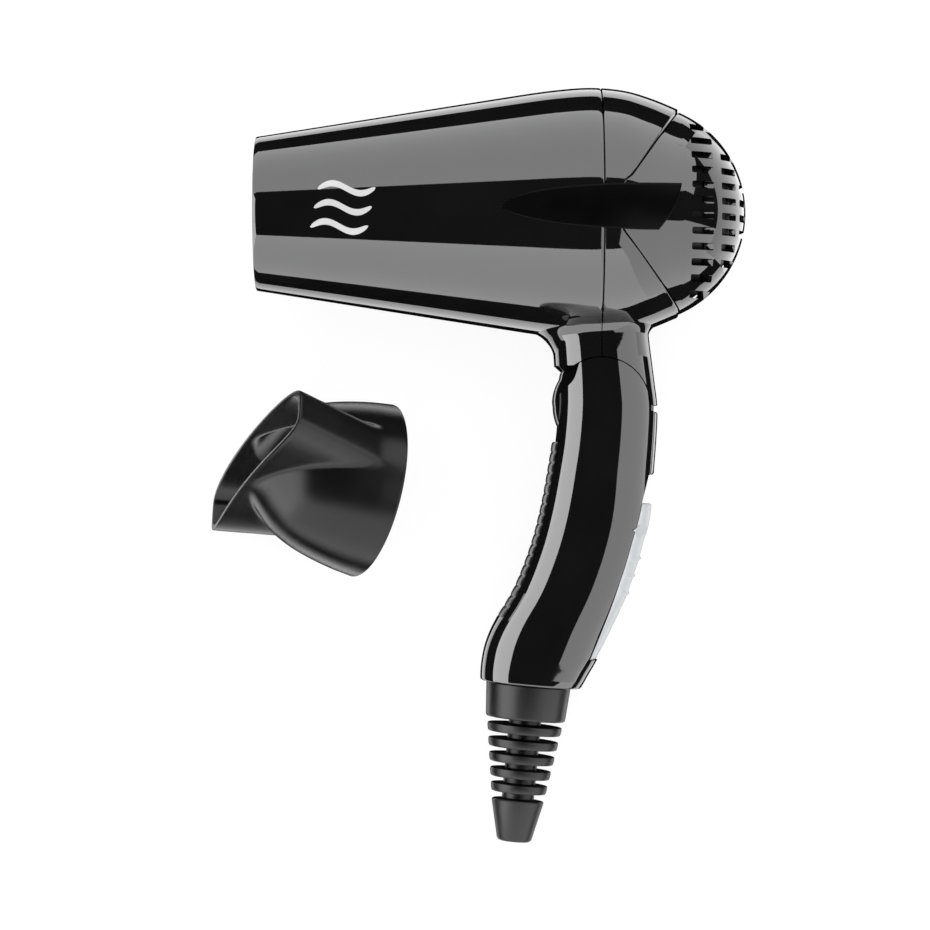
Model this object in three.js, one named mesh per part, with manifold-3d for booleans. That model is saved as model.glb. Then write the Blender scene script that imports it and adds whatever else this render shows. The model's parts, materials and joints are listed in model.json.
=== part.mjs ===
// Folding travel hair dryer with its loose concentrator nozzle, lying on its side on a flat surface.
//
// Every piece is drawn in the dryer's own frame, in millimetres: X runs along the barrel from the
// mouth (-X) to the intake (+X), Y runs from the handle's end (-Y) up to the barrel, Z is the
// dryer's left side, and the origin is on the barrel's axis where the front and rear housings meet.
// At the end the whole scene is tipped about X until it lies on its barrel and its handle, and it is
// moved so that the origin is under the middle of its outline, on the surface that it lies on.

import * as THREE from 'three';
import { mergeVertices } from 'three/addons/utils/BufferGeometryUtils.js';
import Module from 'manifold-3d';

// ---------------------------------------------------------------- driving dimensions

const MOUTH_X = -114.5;            // outer face of the mouth
const MOUTH_R = 25.7;
const TAPER_END_X = -26.7;         // the straight taper ends here
const TAPER_END_R = 39.4;
const REAR_EDGE_X = 26;            // rear housing's back edge, where the intake grille starts
const DOME_CENTRE_X = 12.6;        // the grille is part of a ball about this point
const DOME_R = 36;
const DOME_END_X = 48.4;           // small flat at the grille's middle
const WALL = 2;
const GAP = 0.3;                   // clearance between neighbouring pieces
const BIG = 400;                   // reach of a cutting block

const PIVOT_Y = -64.3;             // fold hinge, on the line X = 0
const CHEEK_R = 16;                // handle's round ears
const NECK_ARC_R = 16.4;           // neck's hollow that the ears turn in
const KNUCKLE_R = 15.6;            // neck's round middle, between the ears
const KNUCKLE_HALF = 8.7;
const KNUCKLE_SPACE = { r: 16.4, half: 9 };           // the handle's hollow round the knuckle
const GRIP_HALF_DEPTH = 17;        // half of the handle's thickness along Z
const GRIP_POWER = 2.6;            // how square the handle's section is
const PIN_R = 2.6;
const BUSH_R = 4.6;
const WASHER = { inner: 3.1, outer: 9, half: 0.45, depth: 1.4 };   // in a seat this deep

const SLIDE_ANGLE = THREE.MathUtils.degToRad(18.7);   // switch track, from the Y axis towards +X
const SWITCH_CENTRE = new THREE.Vector2(-1.5, -112);

const BOOT_TOP = new THREE.Vector2(-23.8, -156.5);    // where the strain relief leaves the handle
const BOOT_LEAN = THREE.MathUtils.degToRad(5.7);
const BOOT_LENGTH = 52.7;
const CORD_HOLE_R = 3.6;

const FAN_R = 30;
const DUCT_R = 33.2;
const MOTOR_R = 13.9;

const NOZZLE_CUP_R = 29.5;
const NOZZLE_LENGTH = 42;
const NOZZLE_SLOT = { long: 38, short: 9 };           // half sizes of the outlet
const NOZZLE_WALL = 1.8;

const REST_TILT = Math.atan(0.1617);                  // tips the dryer onto its barrel and handle

// ---------------------------------------------------------------- materials

const finish = (color, roughness, metalness = 0) =>
  new THREE.MeshStandardMaterial({ color, roughness, metalness });

const GLOSS_BLACK = finish(0x08080a, 0.12);
const SATIN_BLACK = finish(0x141416, 0.45);
const MATT_BLACK = finish(0x101012, 0.75);
const COOL_GREY = finish(0xdadddf, 0.35);
const MICA = finish(0xb9a27a, 0.6);
const RESISTANCE_WIRE = finish(0x8c8a86, 0.35, 1);
const STEEL = finish(0xa9abae, 0.3, 1);
const CERAMIC = finish(0x3a3a3d, 0.5);
const CREAM_PLASTIC = finish(0xd8d2c0, 0.5);
const COPPER = finish(0xb5743e, 0.35, 1);
const BOARD_GREEN = finish(0x2d5a38, 0.5);
const RED_WIRE = finish(0x9a1f1c, 0.5);
const BLUE_WIRE = finish(0x1f3f88, 0.5);

// ---------------------------------------------------------------- solids

const wasm = await Module();
wasm.setup();

/** A closed three.js geometry as a manifold solid. */
function solid(geometry) {
  const bare = geometry.clone();
  bare.deleteAttribute('normal');
  bare.deleteAttribute('uv');
  const merged = mergeVertices(bare, 1e-4);
  const index = merged.getIndex().array;
  const faces = [];
  for (let i = 0; i < index.length; i += 3) {
    const [a, b, c] = [index[i], index[i + 1], index[i + 2]];
    if (a !== b && b !== c && c !== a) faces.push(a, b, c);
  }
  return new wasm.Manifold(new wasm.Mesh({
    numProp: 3,
    vertProperties: new Float32Array(merged.getAttribute('position').array),
    triVerts: new Uint32Array(faces),
  }));
}

/** A manifold solid, or a closed geometry, as a named mesh. */
function mesh(name, shape, material) {
  let geometry = shape;
  if (!shape.isBufferGeometry) {
    const { vertProperties, triVerts } = shape.getMesh();
    geometry = new THREE.BufferGeometry();
    geometry.setAttribute('position', new THREE.BufferAttribute(vertProperties, 3));
    geometry.setIndex(new THREE.BufferAttribute(triVerts, 1));
    geometry.computeVertexNormals();
  }
  const result = new THREE.Mesh(geometry, material);
  result.name = name;
  return result;
}

/** A box between two corners. */
function block(low, high) {
  const size = high.map((value, axis) => value - low[axis]);
  const middle = high.map((value, axis) => (value + low[axis]) / 2);
  return new THREE.BoxGeometry(...size).translate(...middle);
}

/** A body turned about X from a list of [x, radius] points that starts and ends on the axis. */
function turned(points, segments = 32) {
  const profile = points.map(([x, radius]) => new THREE.Vector2(radius, x));
  return new THREE.LatheGeometry(profile, segments).rotateZ(-Math.PI / 2);
}

/** A ring turned about X from a list of [x, radius] points that closes on itself. */
function turnedRing(points, segments = 32) {
  return turned([...points, points[0]], segments);
}

/** A round bar along X. */
function barX(fromX, toX, radius, segments = 12) {
  return turned([[fromX, 0], [fromX, radius], [toX, radius], [toX, 0]], segments);
}

/** A tube along X. */
function tubeX(fromX, toX, inner, outer, segments = 32) {
  return turnedRing([[fromX, inner], [fromX, outer], [toX, outer], [toX, inner]], segments);
}

/** A round bar along Z through (x, y). */
function barZ(x, y, fromZ, toZ, radius, segments = 16) {
  return new THREE.CylinderGeometry(radius, radius, toZ - fromZ, segments)
    .rotateX(Math.PI / 2)
    .translate(x, y, (fromZ + toZ) / 2);
}

/** A flat outline of [x, y] points, as thick as the stretch from one Z to the other. */
function prism(points, fromZ = -BIG, toZ = BIG) {
  const outline = new THREE.Shape(points.map(([x, y]) => new THREE.Vector2(x, y)));
  return new THREE.ExtrudeGeometry(outline, { depth: toZ - fromZ, bevelEnabled: false })
    .translate(0, 0, fromZ);
}

/** A skin over closed rings of points, with flat ends. */
function loft(rings) {
  const count = rings[0].length;
  const points = rings.flat();
  const faces = [];
  for (let ring = 0; ring + 1 < rings.length; ring += 1) {
    for (let i = 0; i < count; i += 1) {
      const a = ring * count + i;
      const b = ring * count + (i + 1) % count;
      faces.push(a, b, a + count, b, b + count, a + count);
    }
  }
  const last = (rings.length - 1) * count;
  for (let i = 1; i + 1 < count; i += 1) {
    faces.push(0, i + 1, i);
    faces.push(last, last + i, last + i + 1);
  }
  const geometry = new THREE.BufferGeometry().setFromPoints(points);
  geometry.setIndex(faces);
  return geometry;
}

/** A round wire along a smooth path through the points. */
function wire(points, radius, steps, sides = 6) {
  const path = new THREE.CatmullRomCurve3(points.map((point) => new THREE.Vector3(...point)));
  return wireAlong(path, radius, steps, sides);
}

function wireAlong(path, radius, steps, sides) {
  const section = new THREE.Shape();
  for (let i = 0; i < sides; i += 1) {
    const turn = (2 * Math.PI * i) / sides;
    section[i === 0 ? 'moveTo' : 'lineTo'](radius * Math.cos(turn), radius * Math.sin(turn));
  }
  return new THREE.ExtrudeGeometry(section, { steps, extrudePath: path, bevelEnabled: false });
}

/** The value at y on a chain of straight stretches through [y, value] points, highest y first. */
function alongChain(points, y) {
  if (y >= points[0][0]) return points[0][1];
  const next = points.findIndex(([level]) => level < y);
  if (next < 0) return points[points.length - 1][1];
  const [y0, v0] = points[next - 1];
  const [y1, v1] = points[next];
  return v0 + ((v1 - v0) * (y - y0)) / (y1 - y0);
}

// ---------------------------------------------------------------- barrel

/** [x, radius] points on the outside of the barrel, from the mouth to just past the rear edge. */
function barrelOutline() {
  const rim = [[MOUTH_X, MOUTH_R - 0.8], [MOUTH_X + 0.8, MOUTH_R]];
  const shoulder = new THREE.SplineCurve([
    new THREE.Vector2(TAPER_END_X, TAPER_END_R),
    new THREE.Vector2(-14, 41.1),
    new THREE.Vector2(-3, 41.8),
    new THREE.Vector2(8, 40.8),
    new THREE.Vector2(17, 38.6),
    new THREE.Vector2(REAR_EDGE_X, 35.2),
    new THREE.Vector2(REAR_EDGE_X + 0.8, 34.8),
  ]);
  return [...rim, ...shoulder.getPoints(8).map((point) => [point.x, point.y])];
}

/** The space inside the housings' outer skin, drawn in by a thickness. */
function barrelCore(drawnIn) {
  const outline = barrelOutline().map(([x, radius]) => [x, radius - drawnIn]);
  const past = drawnIn > 0 ? 1 : 0;
  const [lastX, lastR] = outline[outline.length - 1];
  const start = [MOUTH_X - past, outline[0][1]];
  const end = [lastX + past, lastR];
  const head = past ? [[start[0], 0], start] : [[start[0], 0]];
  const tail = past ? [end, [end[0], 0]] : [[end[0], 0]];
  return solid(turned([...head, ...outline, ...tail]));
}

/** The space inside the grille's ball, drawn in by a thickness. */
function domeCore(drawnIn) {
  const radius = DOME_R - drawnIn;
  const endX = DOME_END_X - drawnIn;
  const startX = REAR_EDGE_X - 1.4;
  const steps = 4;
  const first = Math.acos((startX - DOME_CENTRE_X) / radius);
  const last = Math.acos((endX - DOME_CENTRE_X) / radius);
  const points = [[startX, 0]];
  for (let i = 0; i <= steps; i += 1) {
    const angle = first + ((last - first) * i) / steps;
    points.push([DOME_CENTRE_X + radius * Math.cos(angle), radius * Math.sin(angle)]);
  }
  points.push([endX, 0]);
  return solid(turned(points, 24));
}

// The grille's edge runs forward to a point on each side, behind the side trim.
const GRILLE_POINT = [
  [REAR_EDGE_X, 34.7], [8.9, 9.8], [5.9, 7.5], [5.9, -11.5], [10.8, -13.9], [REAR_EDGE_X, -33.7],
];

/** Everything behind the grille's edge, moved along X by a clearance. */
function behindEdge(shift) {
  const edge = GRILLE_POINT.map(([x, y]) => [x + shift, y]);
  const [top, bottom] = [edge[0][0], edge[edge.length - 1][0]];
  return solid(prism([[BIG, BIG], [top, BIG], ...edge, [bottom, -BIG], [BIG, -BIG]]));
}

// Outline of the side trim, grown by a margin: a long leaf, pointed at the front.
function trimOutline(margin) {
  const m = margin;
  return [
    [-33.6 - 2 * m, -0.4], [-28.6, 3.1 + m], [-21.2, 4.8 + m], [-11.5, 6.1 + m], [0.4, 6.9 + m],
    [25.2 + m, 7.6 + m], [24.6 + m, 3.1], [21 + m, -3.3], [17.6 + m, -7.8 - m],
    [8.8, -7.8 - m], [-5.7, -7 - m], [-17.4, -5.7 - m], [-27.6, -3.2 - m], [-31.5 - m, -1.8 - m],
  ];
}

const TRIM_DEPTH = 1.1;

function trimPocket(side) {
  const low = side > 0 ? 0 : -BIG;
  return solid(prism(trimOutline(GAP), low, low + BIG))
    .subtract(barrelCore(TRIM_DEPTH + GAP));
}

function sideTrim(name, side) {
  const low = side > 0 ? 0 : -BIG;
  const leaf = solid(prism(trimOutline(0), low, low + BIG));
  return mesh(name, barrelCore(0).subtract(barrelCore(TRIM_DEPTH)).intersect(leaf), GLOSS_BLACK);
}

// ---------------------------------------------------------------- neck

/** Neck from the barrel down to the fold hinge, with its round middle, before it is split. */
function neckBody() {
  const arc = [];
  for (let degrees = 122; degrees >= 2; degrees -= 12) {
    const angle = THREE.MathUtils.degToRad(degrees);
    arc.push([NECK_ARC_R * Math.cos(angle), PIVOT_Y + NECK_ARC_R * Math.sin(angle)]);
  }
  const outline = [
    [16, -30], [-25, -30], [-25, -38.6], [-21, -40.8], [-17, -45.3], [-14.4, -50.3], ...arc,
    [19, -63.9], [18.2, -57], [17.3, -50], [16.4, -42],
  ];
  const half = GRIP_HALF_DEPTH;
  const knuckle = solid(barZ(0, PIVOT_Y, -KNUCKLE_HALF, KNUCKLE_HALF, KNUCKLE_R, 32));
  const stem = solid(block([-7.5, -56, -KNUCKLE_HALF], [12, -45, KNUCKLE_HALF]));
  return solid(prism(outline, -half, half)).add(knuckle).add(stem);
}

/** Hollow of the neck, and the bores of the hinge's bush and washers. */
function neckHollow() {
  const shaft = solid(block([-8.5, -57.5, -6.5], [12, -28, 6.5]));
  const bore = solid(barZ(0, PIVOT_Y, -BIG, BIG, BUSH_R + GAP));
  const seatZ = KNUCKLE_HALF - WASHER.depth;
  const seatR = WASHER.outer + GAP;
  const seats = solid(barZ(0, PIVOT_Y, seatZ, BIG, seatR, 20))
    .add(solid(barZ(0, PIVOT_Y, -BIG, -seatZ, seatR, 20)));
  return shaft.add(bore).add(seats);
}

function housings() {
  const outside = barrelCore(0).add(neckBody().subtract(barrelCore(WALL)));
  const whole = outside
    .subtract(barrelCore(WALL))
    .subtract(neckHollow())
    .subtract(trimPocket(1))
    .subtract(trimPocket(-1));
  const frontSpace = solid(block([-BIG, -BIG, -BIG], [-GAP / 2, BIG, BIG]));
  const rearSpace = solid(block([GAP / 2, -BIG, -BIG], [BIG, BIG, BIG]));
  const rear = whole.intersect(rearSpace).subtract(behindEdge(-GAP));
  return [
    mesh('front_housing', whole.intersect(frontSpace), GLOSS_BLACK),
    mesh('rear_housing', rear, GLOSS_BLACK),
  ];
}

// ---------------------------------------------------------------- intake

// Air slots: level rows, cut along the barrel's axis, in two rings with a round rib between them.
const SLOT_PITCH = 5;
const SLOT_HEIGHT = 2.4;
const SLOT_ROWS = 12;
const SLOT_RINGS = [[17.4, 31.2], [6, 14.6]];

function intakeGrille() {
  const skin = barrelCore(0).subtract(barrelCore(WALL));
  const dome = domeCore(0).subtract(domeCore(WALL));
  const backOnly = solid(block([REAR_EDGE_X, -BIG, -BIG], [BIG, BIG, BIG]));
  let grille = skin.intersect(behindEdge(0)).add(dome.intersect(backOnly));
  let rows = null;
  for (let row = 0; row < SLOT_ROWS; row += 1) {
    const y = (row - (SLOT_ROWS - 1) / 2) * SLOT_PITCH;
    const stripe = solid(block([28, y - SLOT_HEIGHT / 2, -BIG], [BIG, y + SLOT_HEIGHT / 2, BIG]));
    rows = rows ? rows.add(stripe) : stripe;
  }
  for (const [inner, outer] of SLOT_RINGS) {
    grille = grille.subtract(solid(tubeX(28, 60, inner, outer, 16)).intersect(rows));
  }
  return mesh('intake_grille', grille.subtract(trimPocket(1)).subtract(trimPocket(-1)), GLOSS_BLACK);
}

function arcPoints(radius, from, to, steps) {
  return Array.from({ length: steps + 1 }, (_, i) => {
    const angle = from + ((to - from) * i) / steps;
    return new THREE.Vector2(radius * Math.cos(angle), radius * Math.sin(angle));
  });
}

/** A round plate with windows between its rings and spokes. */
function windowPlate(x, thickness, radius, rings, spokes) {
  const fullTurn = 2 * Math.PI;
  const plate = new THREE.Shape(arcPoints(radius, 0, fullTurn, 32).slice(0, -1));
  const web = 1.1;
  for (const [inner, outer] of rings) {
    for (let spoke = 0; spoke < spokes; spoke += 1) {
      const from = (fullTurn * spoke) / spokes;
      const to = (fullTurn * (spoke + 1)) / spokes;
      plate.holes.push(new THREE.Path([
        ...arcPoints(outer, from + web / outer, to - web / outer, 4),
        ...arcPoints(inner, to - web / inner, from + web / inner, 4),
      ]));
    }
  }
  return new THREE.ExtrudeGeometry(plate, { depth: thickness, bevelEnabled: false })
    .rotateY(Math.PI / 2)
    .translate(x, 0, 0);
}

function lintFilter() {
  return mesh('lint_filter', windowPlate(26.4, 1.4, 29.6, [[16, 27.6], [4, 14]], 6), SATIN_BLACK);
}

// ---------------------------------------------------------------- fan and motor

function fanDuct() {
  const vanes = 7;
  let duct = solid(tubeX(-22, 24, DUCT_R - 1.6, DUCT_R, 24)).add(solid(tubeX(-22, 4, 14.4, 15.8, 20)));
  for (let vane = 0; vane < vanes; vane += 1) {
    const plate = block([-19, 15.2, -0.7], [1, DUCT_R - 0.8, 0.7]).rotateX((2 * Math.PI * vane) / vanes);
    duct = duct.add(solid(plate));
  }
  return mesh('fan_duct', duct, SATIN_BLACK);
}

function fanImpeller() {
  const blades = 8;
  const pitch = THREE.MathUtils.degToRad(38);
  const hubOutline = [[8, 0], [8, 13], [19, 13], [22.5, 8], [24, 3], [24, 0]];
  let fan = solid(turned(hubOutline, 24));
  for (let blade = 0; blade < blades; blade += 1) {
    const plate = block([-0.65, 12, -7], [0.65, FAN_R - 1, 7])
      .rotateY(Math.PI / 2 - pitch)
      .translate(13.5, 0, 0)
      .rotateX((2 * Math.PI * blade) / blades);
    fan = fan.add(solid(plate));
  }
  return mesh('fan_impeller', fan.subtract(solid(barX(0, 22, 1.45, 12))), SATIN_BLACK);
}

function motorPieces() {
  const can = turnedRing([
    [-24, MOTOR_R - 1.2], [-24, MOTOR_R], [6, MOTOR_R], [6, 1.6], [4.6, 1.6], [4.6, MOTOR_R - 1.2],
  ], 28);
  const endCap = turnedRing([
    [-28.6, 1.6], [-28.6, 5], [-26.8, 5], [-26.8, MOTOR_R - 0.2], [-24.3, MOTOR_R - 0.2], [-24.3, 1.6],
  ], 28);
  const ring = solid(tubeX(-21, 3, 9.9, MOTOR_R - 1.5, 28));
  const upperHalf = solid(block([-BIG, 2.5, -BIG], [BIG, BIG, BIG]));
  const lowerHalf = solid(block([-BIG, -BIG, -BIG], [BIG, -2.5, BIG]));
  return [
    mesh('motor_can', solid(can), STEEL),
    mesh('motor_end_cap', solid(endCap), CREAM_PLASTIC),
    mesh('magnet_upper', ring.intersect(upperHalf), CERAMIC),
    mesh('magnet_lower', ring.intersect(lowerHalf), CERAMIC),
    mesh('rectifier_board', tubeX(-31, -29.4, 2.2, 12, 20), BOARD_GREEN),
  ];
}

function rotorPieces() {
  return [
    mesh('motor_shaft', barX(-27.5, 21.5, 1.15, 12), STEEL),
    mesh('motor_armature', tubeX(-19, 1, 1.45, 9.4, 20), COPPER),
    fanImpeller(),
  ];
}

// ---------------------------------------------------------------- heater

const HEATER = { from: -101, to: -39, boardHalf: 15.5, coilR: 18, sleeveR: 21.8 };

/** A resistance coil wound round the mica boards. */
function heatingCoil(name, fromX, toX, turns) {
  const path = new THREE.Curve();
  path.getPoint = (t) => {
    const turn = 2 * Math.PI * turns * t;
    const y = HEATER.coilR * Math.cos(turn);
    return new THREE.Vector3(fromX + (toX - fromX) * t, y, HEATER.coilR * Math.sin(turn));
  };
  return mesh(name, wireAlong(path, 1.2, turns * 12, 5), RESISTANCE_WIRE);
}

function heaterPieces() {
  const { from, to, boardHalf, sleeveR } = HEATER;
  const [start, end] = [from + 2, to - 1];
  const fuse = new THREE.CylinderGeometry(1.6, 1.6, 10, 12).rotateZ(Math.PI / 2).translate(-58, -7, 3);
  return [
    mesh('heat_shield_sleeve', tubeX(from, to, sleeveR - 0.8, sleeveR), MICA),
    mesh('mica_board_main', block([start, -boardHalf, -0.4], [end, boardHalf, 0.4]), MICA),
    mesh('mica_board_left', block([start, -0.4, 0.7], [end, 0.4, boardHalf]), MICA),
    mesh('mica_board_right', block([start, -0.4, -boardHalf], [end, 0.4, -0.7]), MICA),
    heatingCoil('heating_coil_front', -97, -73, 4),
    heatingCoil('heating_coil_rear', -68, -44, 4),
    mesh('thermostat', block([-56, 3, 0.7], [-44, 10, 6]), CREAM_PLASTIC),
    mesh('thermal_fuse', fuse, STEEL),
    mesh('outlet_guard', windowPlate(-104.4, 2, 24.9, [[14, 22.6], [4, 12]], 6), SATIN_BLACK),
  ];
}

/** The two wires that feed the heater and motor, from the neck to the heater's back end. */
function headLeads() {
  const route = (z) => [
    [2.5, -56, z], [2, -46, z], [-5, -37.3, z], [-16, -35.8, z], [-26, -33.5, z], [-32, -25, z],
    [-36, -13, z],
  ];
  return [
    mesh('head_lead_live', wire(route(3), 0.9, 14), RED_WIRE),
    mesh('head_lead_neutral', wire(route(-3), 0.9, 14), BLUE_WIRE),
  ];
}

function hingeHeadPieces() {
  const { inner, outer, half, depth } = WASHER;
  const washer = (z) => {
    const disc = solid(barZ(0, PIVOT_Y, z - half, z + half, outer));
    return disc.subtract(solid(barZ(0, PIVOT_Y, -BIG, BIG, inner)));
  };
  const bushHalf = 6.9;
  const bush = solid(barZ(0, PIVOT_Y, -bushHalf, bushHalf, BUSH_R))
    .subtract(solid(barZ(0, PIVOT_Y, -BIG, BIG, PIN_R + GAP)));
  const washerZ = KNUCKLE_HALF - depth / 2;
  return [
    mesh('hinge_bush', bush, STEEL),
    mesh('detent_washer_left', washer(washerZ), STEEL),
    mesh('detent_washer_right', washer(-washerZ), STEEL),
  ];
}

// ---------------------------------------------------------------- handle

// Side view of the handle as [y, x] chains, from the top down.
const GRIP_FRONT = [
  [-50, -15], [-75, -15.6], [-86, -17.6], [-96.7, -19.5], [-107.3, -22.3], [-116, -25.3], [-124, -28.3],
  [-129, -30.8], [-134, -34.2], [-139.3, -36.9], [-145, -38.7], [-152.7, -39.8], [-160, -39.8],
];
const GRIP_BACK = [
  [-50, 19.2], [-67, 19], [-80, 18.2], [-86.3, 17.4], [-96.5, 17.2], [-103.7, 16.2], [-113, 13.9],
  [-120, 11.9], [-127.5, 8.9], [-137, 4.6], [-147.2, -0.6], [-152.7, -4.4], [-160, -8.2],
];
const GRIP_LEVELS = [
  -50, -67, -76, -86.3, -96.6, -104, -113, -120.5, -128.5, -134, -139.3, -146, -152.7, -160,
];
// Back of the black shells under the switch, and in the short recess above it.
const TRACK = [
  [-87, 16.2], [-96.3, 13.8], [-104, 11.8], [-108.3, 10.6], [-128.7, 4], [-147.6, -3.9],
];
const SLIDER_LIFT = 1;              // clearance between the track and the switch
const STRIP = { top: -76, bottom: -134, depth: 2.4, half: 9.5 };

/** One level section of the handle, a rounded rectangle. */
function gripRing(y, front, back, halfDepth) {
  const sides = 20;
  const middle = (front + back) / 2;
  const halfWidth = (back - front) / 2;
  const ring = [];
  for (let i = 0; i < sides; i += 1) {
    const angle = (2 * Math.PI * (i + 0.5)) / sides;
    const [c, s] = [Math.cos(angle), Math.sin(angle)];
    const x = middle + halfWidth * Math.sign(c) * Math.abs(c) ** (2 / GRIP_POWER);
    const z = halfDepth * Math.sign(s) * Math.abs(s) ** (2 / GRIP_POWER);
    ring.push(new THREE.Vector3(x, y, z));
  }
  return ring;
}

function gripLoft(levels, inset, backChain) {
  return solid(loft(levels.map((y) => {
    const front = alongChain(GRIP_FRONT, y) + inset;
    const back = alongChain(backChain, y) - inset;
    return gripRing(y, front, back, GRIP_HALF_DEPTH - inset);
  })));
}

/** Everything behind the switch's track, moved out by a clearance, from one level to another. */
function behindTrack(clearance, topY, bottomY) {
  const inside = TRACK.filter(([y]) => y < topY && y > bottomY);
  const chain = [topY, ...inside.map(([y]) => y), bottomY];
  const edge = chain.map((y) => [alongChain(TRACK, y) + clearance, y]);
  return solid(prism([[BIG, topY], ...edge, [BIG, bottomY]]));
}

function frontStripSpace(margin) {
  const levels = [STRIP.top + margin, -96.7, -107.3, -116, -124, -129, STRIP.bottom - margin];
  const inner = levels.map((y) => [alongChain(GRIP_FRONT, y) + STRIP.depth + margin, y]);
  const half = STRIP.half + margin;
  const far = [[-BIG, STRIP.bottom - margin], [-BIG, STRIP.top + margin]];
  return solid(prism([...inner, ...far], -half, half));
}

/** Points in the switch's own frame: up along its travel, out from the handle. */
function switchBlock(up, out, z) {
  return block([out[0], up[0], z[0]], [out[1], up[1], z[1]])
    .rotateZ(-SLIDE_ANGLE)
    .translate(SWITCH_CENTRE.x, SWITCH_CENTRE.y, 0);
}

const GRIP_SCREWS = [[-7, -90], [-19, -122.5], [-29, -137]];
const SCREW = { headR: 2.8, headDepth: 2.2, shankR: 1.3, seatZ: -11, tipZ: 8 };

function gripShells() {
  const innerLevels = [-84, ...GRIP_LEVELS.filter((y) => y < -84 && y > -152.5), -153];
  const innerBack = [...GRIP_BACK.filter(([y]) => y > -87), ...TRACK, [-153, -6]];

  const turn = (degrees) => {
    const angle = THREE.MathUtils.degToRad(degrees);
    return [BIG * Math.cos(angle), PIVOT_Y + BIG * Math.sin(angle)];
  };
  const aboveHinge = solid(prism([[0, PIVOT_Y], turn(-2), turn(45), turn(90), turn(135), turn(214.5)]));
  const slant = Math.tan(BOOT_LEAN);
  const belowEnd = solid(prism([
    [-BIG, BOOT_TOP.y + slant * (BIG + BOOT_TOP.x)], [-BIG, -BIG], [BIG, -BIG],
    [BIG, BOOT_TOP.y - slant * (BIG - BOOT_TOP.x)],
  ]));
  const ears = solid(barZ(0, PIVOT_Y, -GRIP_HALF_DEPTH, GRIP_HALF_DEPTH, CHEEK_R, 36));

  const grip = gripLoft(GRIP_LEVELS, 0, GRIP_BACK).subtract(aboveHinge).subtract(belowEnd).add(ears);
  const cavity = gripLoft(innerLevels, WALL, innerBack);
  const { r: spaceR, half: spaceHalf } = KNUCKLE_SPACE;
  const knuckleSpace = solid(barZ(0, PIVOT_Y, -spaceHalf, spaceHalf, spaceR, 36));
  const passage = solid(block([-5, -86, -5], [6, -74, 5]));
  const pinHole = solid(barZ(0, PIVOT_Y, -14.3, 14.3, PIN_R + GAP));
  const toggleSlot = solid(switchBlock([-9.4, 6.2], [6.8, 14], [-2.2, 2.2]));
  const boot = solid(bootPlace(turned([[-12, 0], [-12, 8.4], [5, 8.4], [5, 0]], 24)));

  let shells = grip
    .subtract(behindTrack(0, -87, -147.6))
    .subtract(frontStripSpace(GAP))
    .subtract(cavity)
    .subtract(knuckleSpace)
    .subtract(passage)
    .subtract(pinHole)
    .subtract(toggleSlot);
  const bossSpace = gripLoft(innerLevels, WALL / 2, innerBack);
  for (const [x, y] of GRIP_SCREWS) {
    shells = shells
      .add(solid(barZ(x, y, -GRIP_HALF_DEPTH, GRIP_HALF_DEPTH, 3.8, 12)).intersect(bossSpace))
      .subtract(solid(barZ(x, y, -BIG, SCREW.tipZ + 1, SCREW.shankR + GAP, 12)))
      .subtract(solid(barZ(x, y, -BIG, SCREW.seatZ, SCREW.headR + GAP, 12)));
  }
  shells = shells.subtract(boot);
  const leftSide = solid(block([-BIG, -BIG, GAP / 2], [BIG, BIG, BIG]));
  const rightSide = solid(block([-BIG, -BIG, -BIG], [BIG, BIG, -GAP / 2]));
  return [
    mesh('handle_shell_left', shells.intersect(leftSide), GLOSS_BLACK),
    mesh('handle_shell_right', shells.intersect(rightSide), GLOSS_BLACK),
    mesh('front_grip_strip', gripLoft(GRIP_LEVELS, 0, GRIP_BACK).intersect(frontStripSpace(0)), SATIN_BLACK),
  ];
}

function screw(name, length) {
  const { headR, headDepth, shankR } = SCREW;
  const profile = [
    [0, 0], [0, headR], [headDepth, headR], [headDepth, shankR], [headDepth + length, shankR],
    [headDepth + length, 0],
  ];
  return mesh(name, turned(profile, 12), STEEL);
}

function gripScrews() {
  return GRIP_SCREWS.map(([x, y], i) => {
    const piece = screw(`handle_screw_${i + 1}`, SCREW.tipZ - SCREW.seatZ);
    piece.rotation.y = -Math.PI / 2;
    piece.position.set(x, y, SCREW.seatZ - SCREW.headDepth - GAP);
    return piece;
  });
}

/** Moves a piece drawn along -X from the origin to the strain relief's place. */
function bootPlace(geometry) {
  return geometry.rotateZ(Math.PI / 2 - BOOT_LEAN).translate(BOOT_TOP.x, BOOT_TOP.y, 0);
}

/** Strain relief: plug and flange inside the handle, collar, ribs on a core, and a plain end. */
function strainRelief() {
  const ribs = 5;
  const ribPitch = 4.95;
  const ribHalf = 1.35;
  const coreR = 5.4;
  const points = [
    [7, CORD_HOLE_R], [7, 10], [5, 10], [5, 8], [-GAP, 8], [-GAP, 13.85], [-11.8, 12.7], [-11.8, coreR],
  ];
  for (let rib = 0; rib < ribs; rib += 1) {
    const middle = -15.2 - rib * ribPitch;
    const radius = 12.35 - rib * 0.75;
    points.push([middle + ribHalf, coreR], [middle + ribHalf, radius]);
    points.push([middle - ribHalf, radius - 0.4], [middle - ribHalf, coreR]);
  }
  points.push([-38.8, coreR], [-38.8, 8.4], [-BOOT_LENGTH, 5.5], [-BOOT_LENGTH, CORD_HOLE_R]);
  return mesh('strain_relief_boot', bootPlace(turnedRing(points.reverse(), 14)), MATT_BLACK);
}

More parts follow.
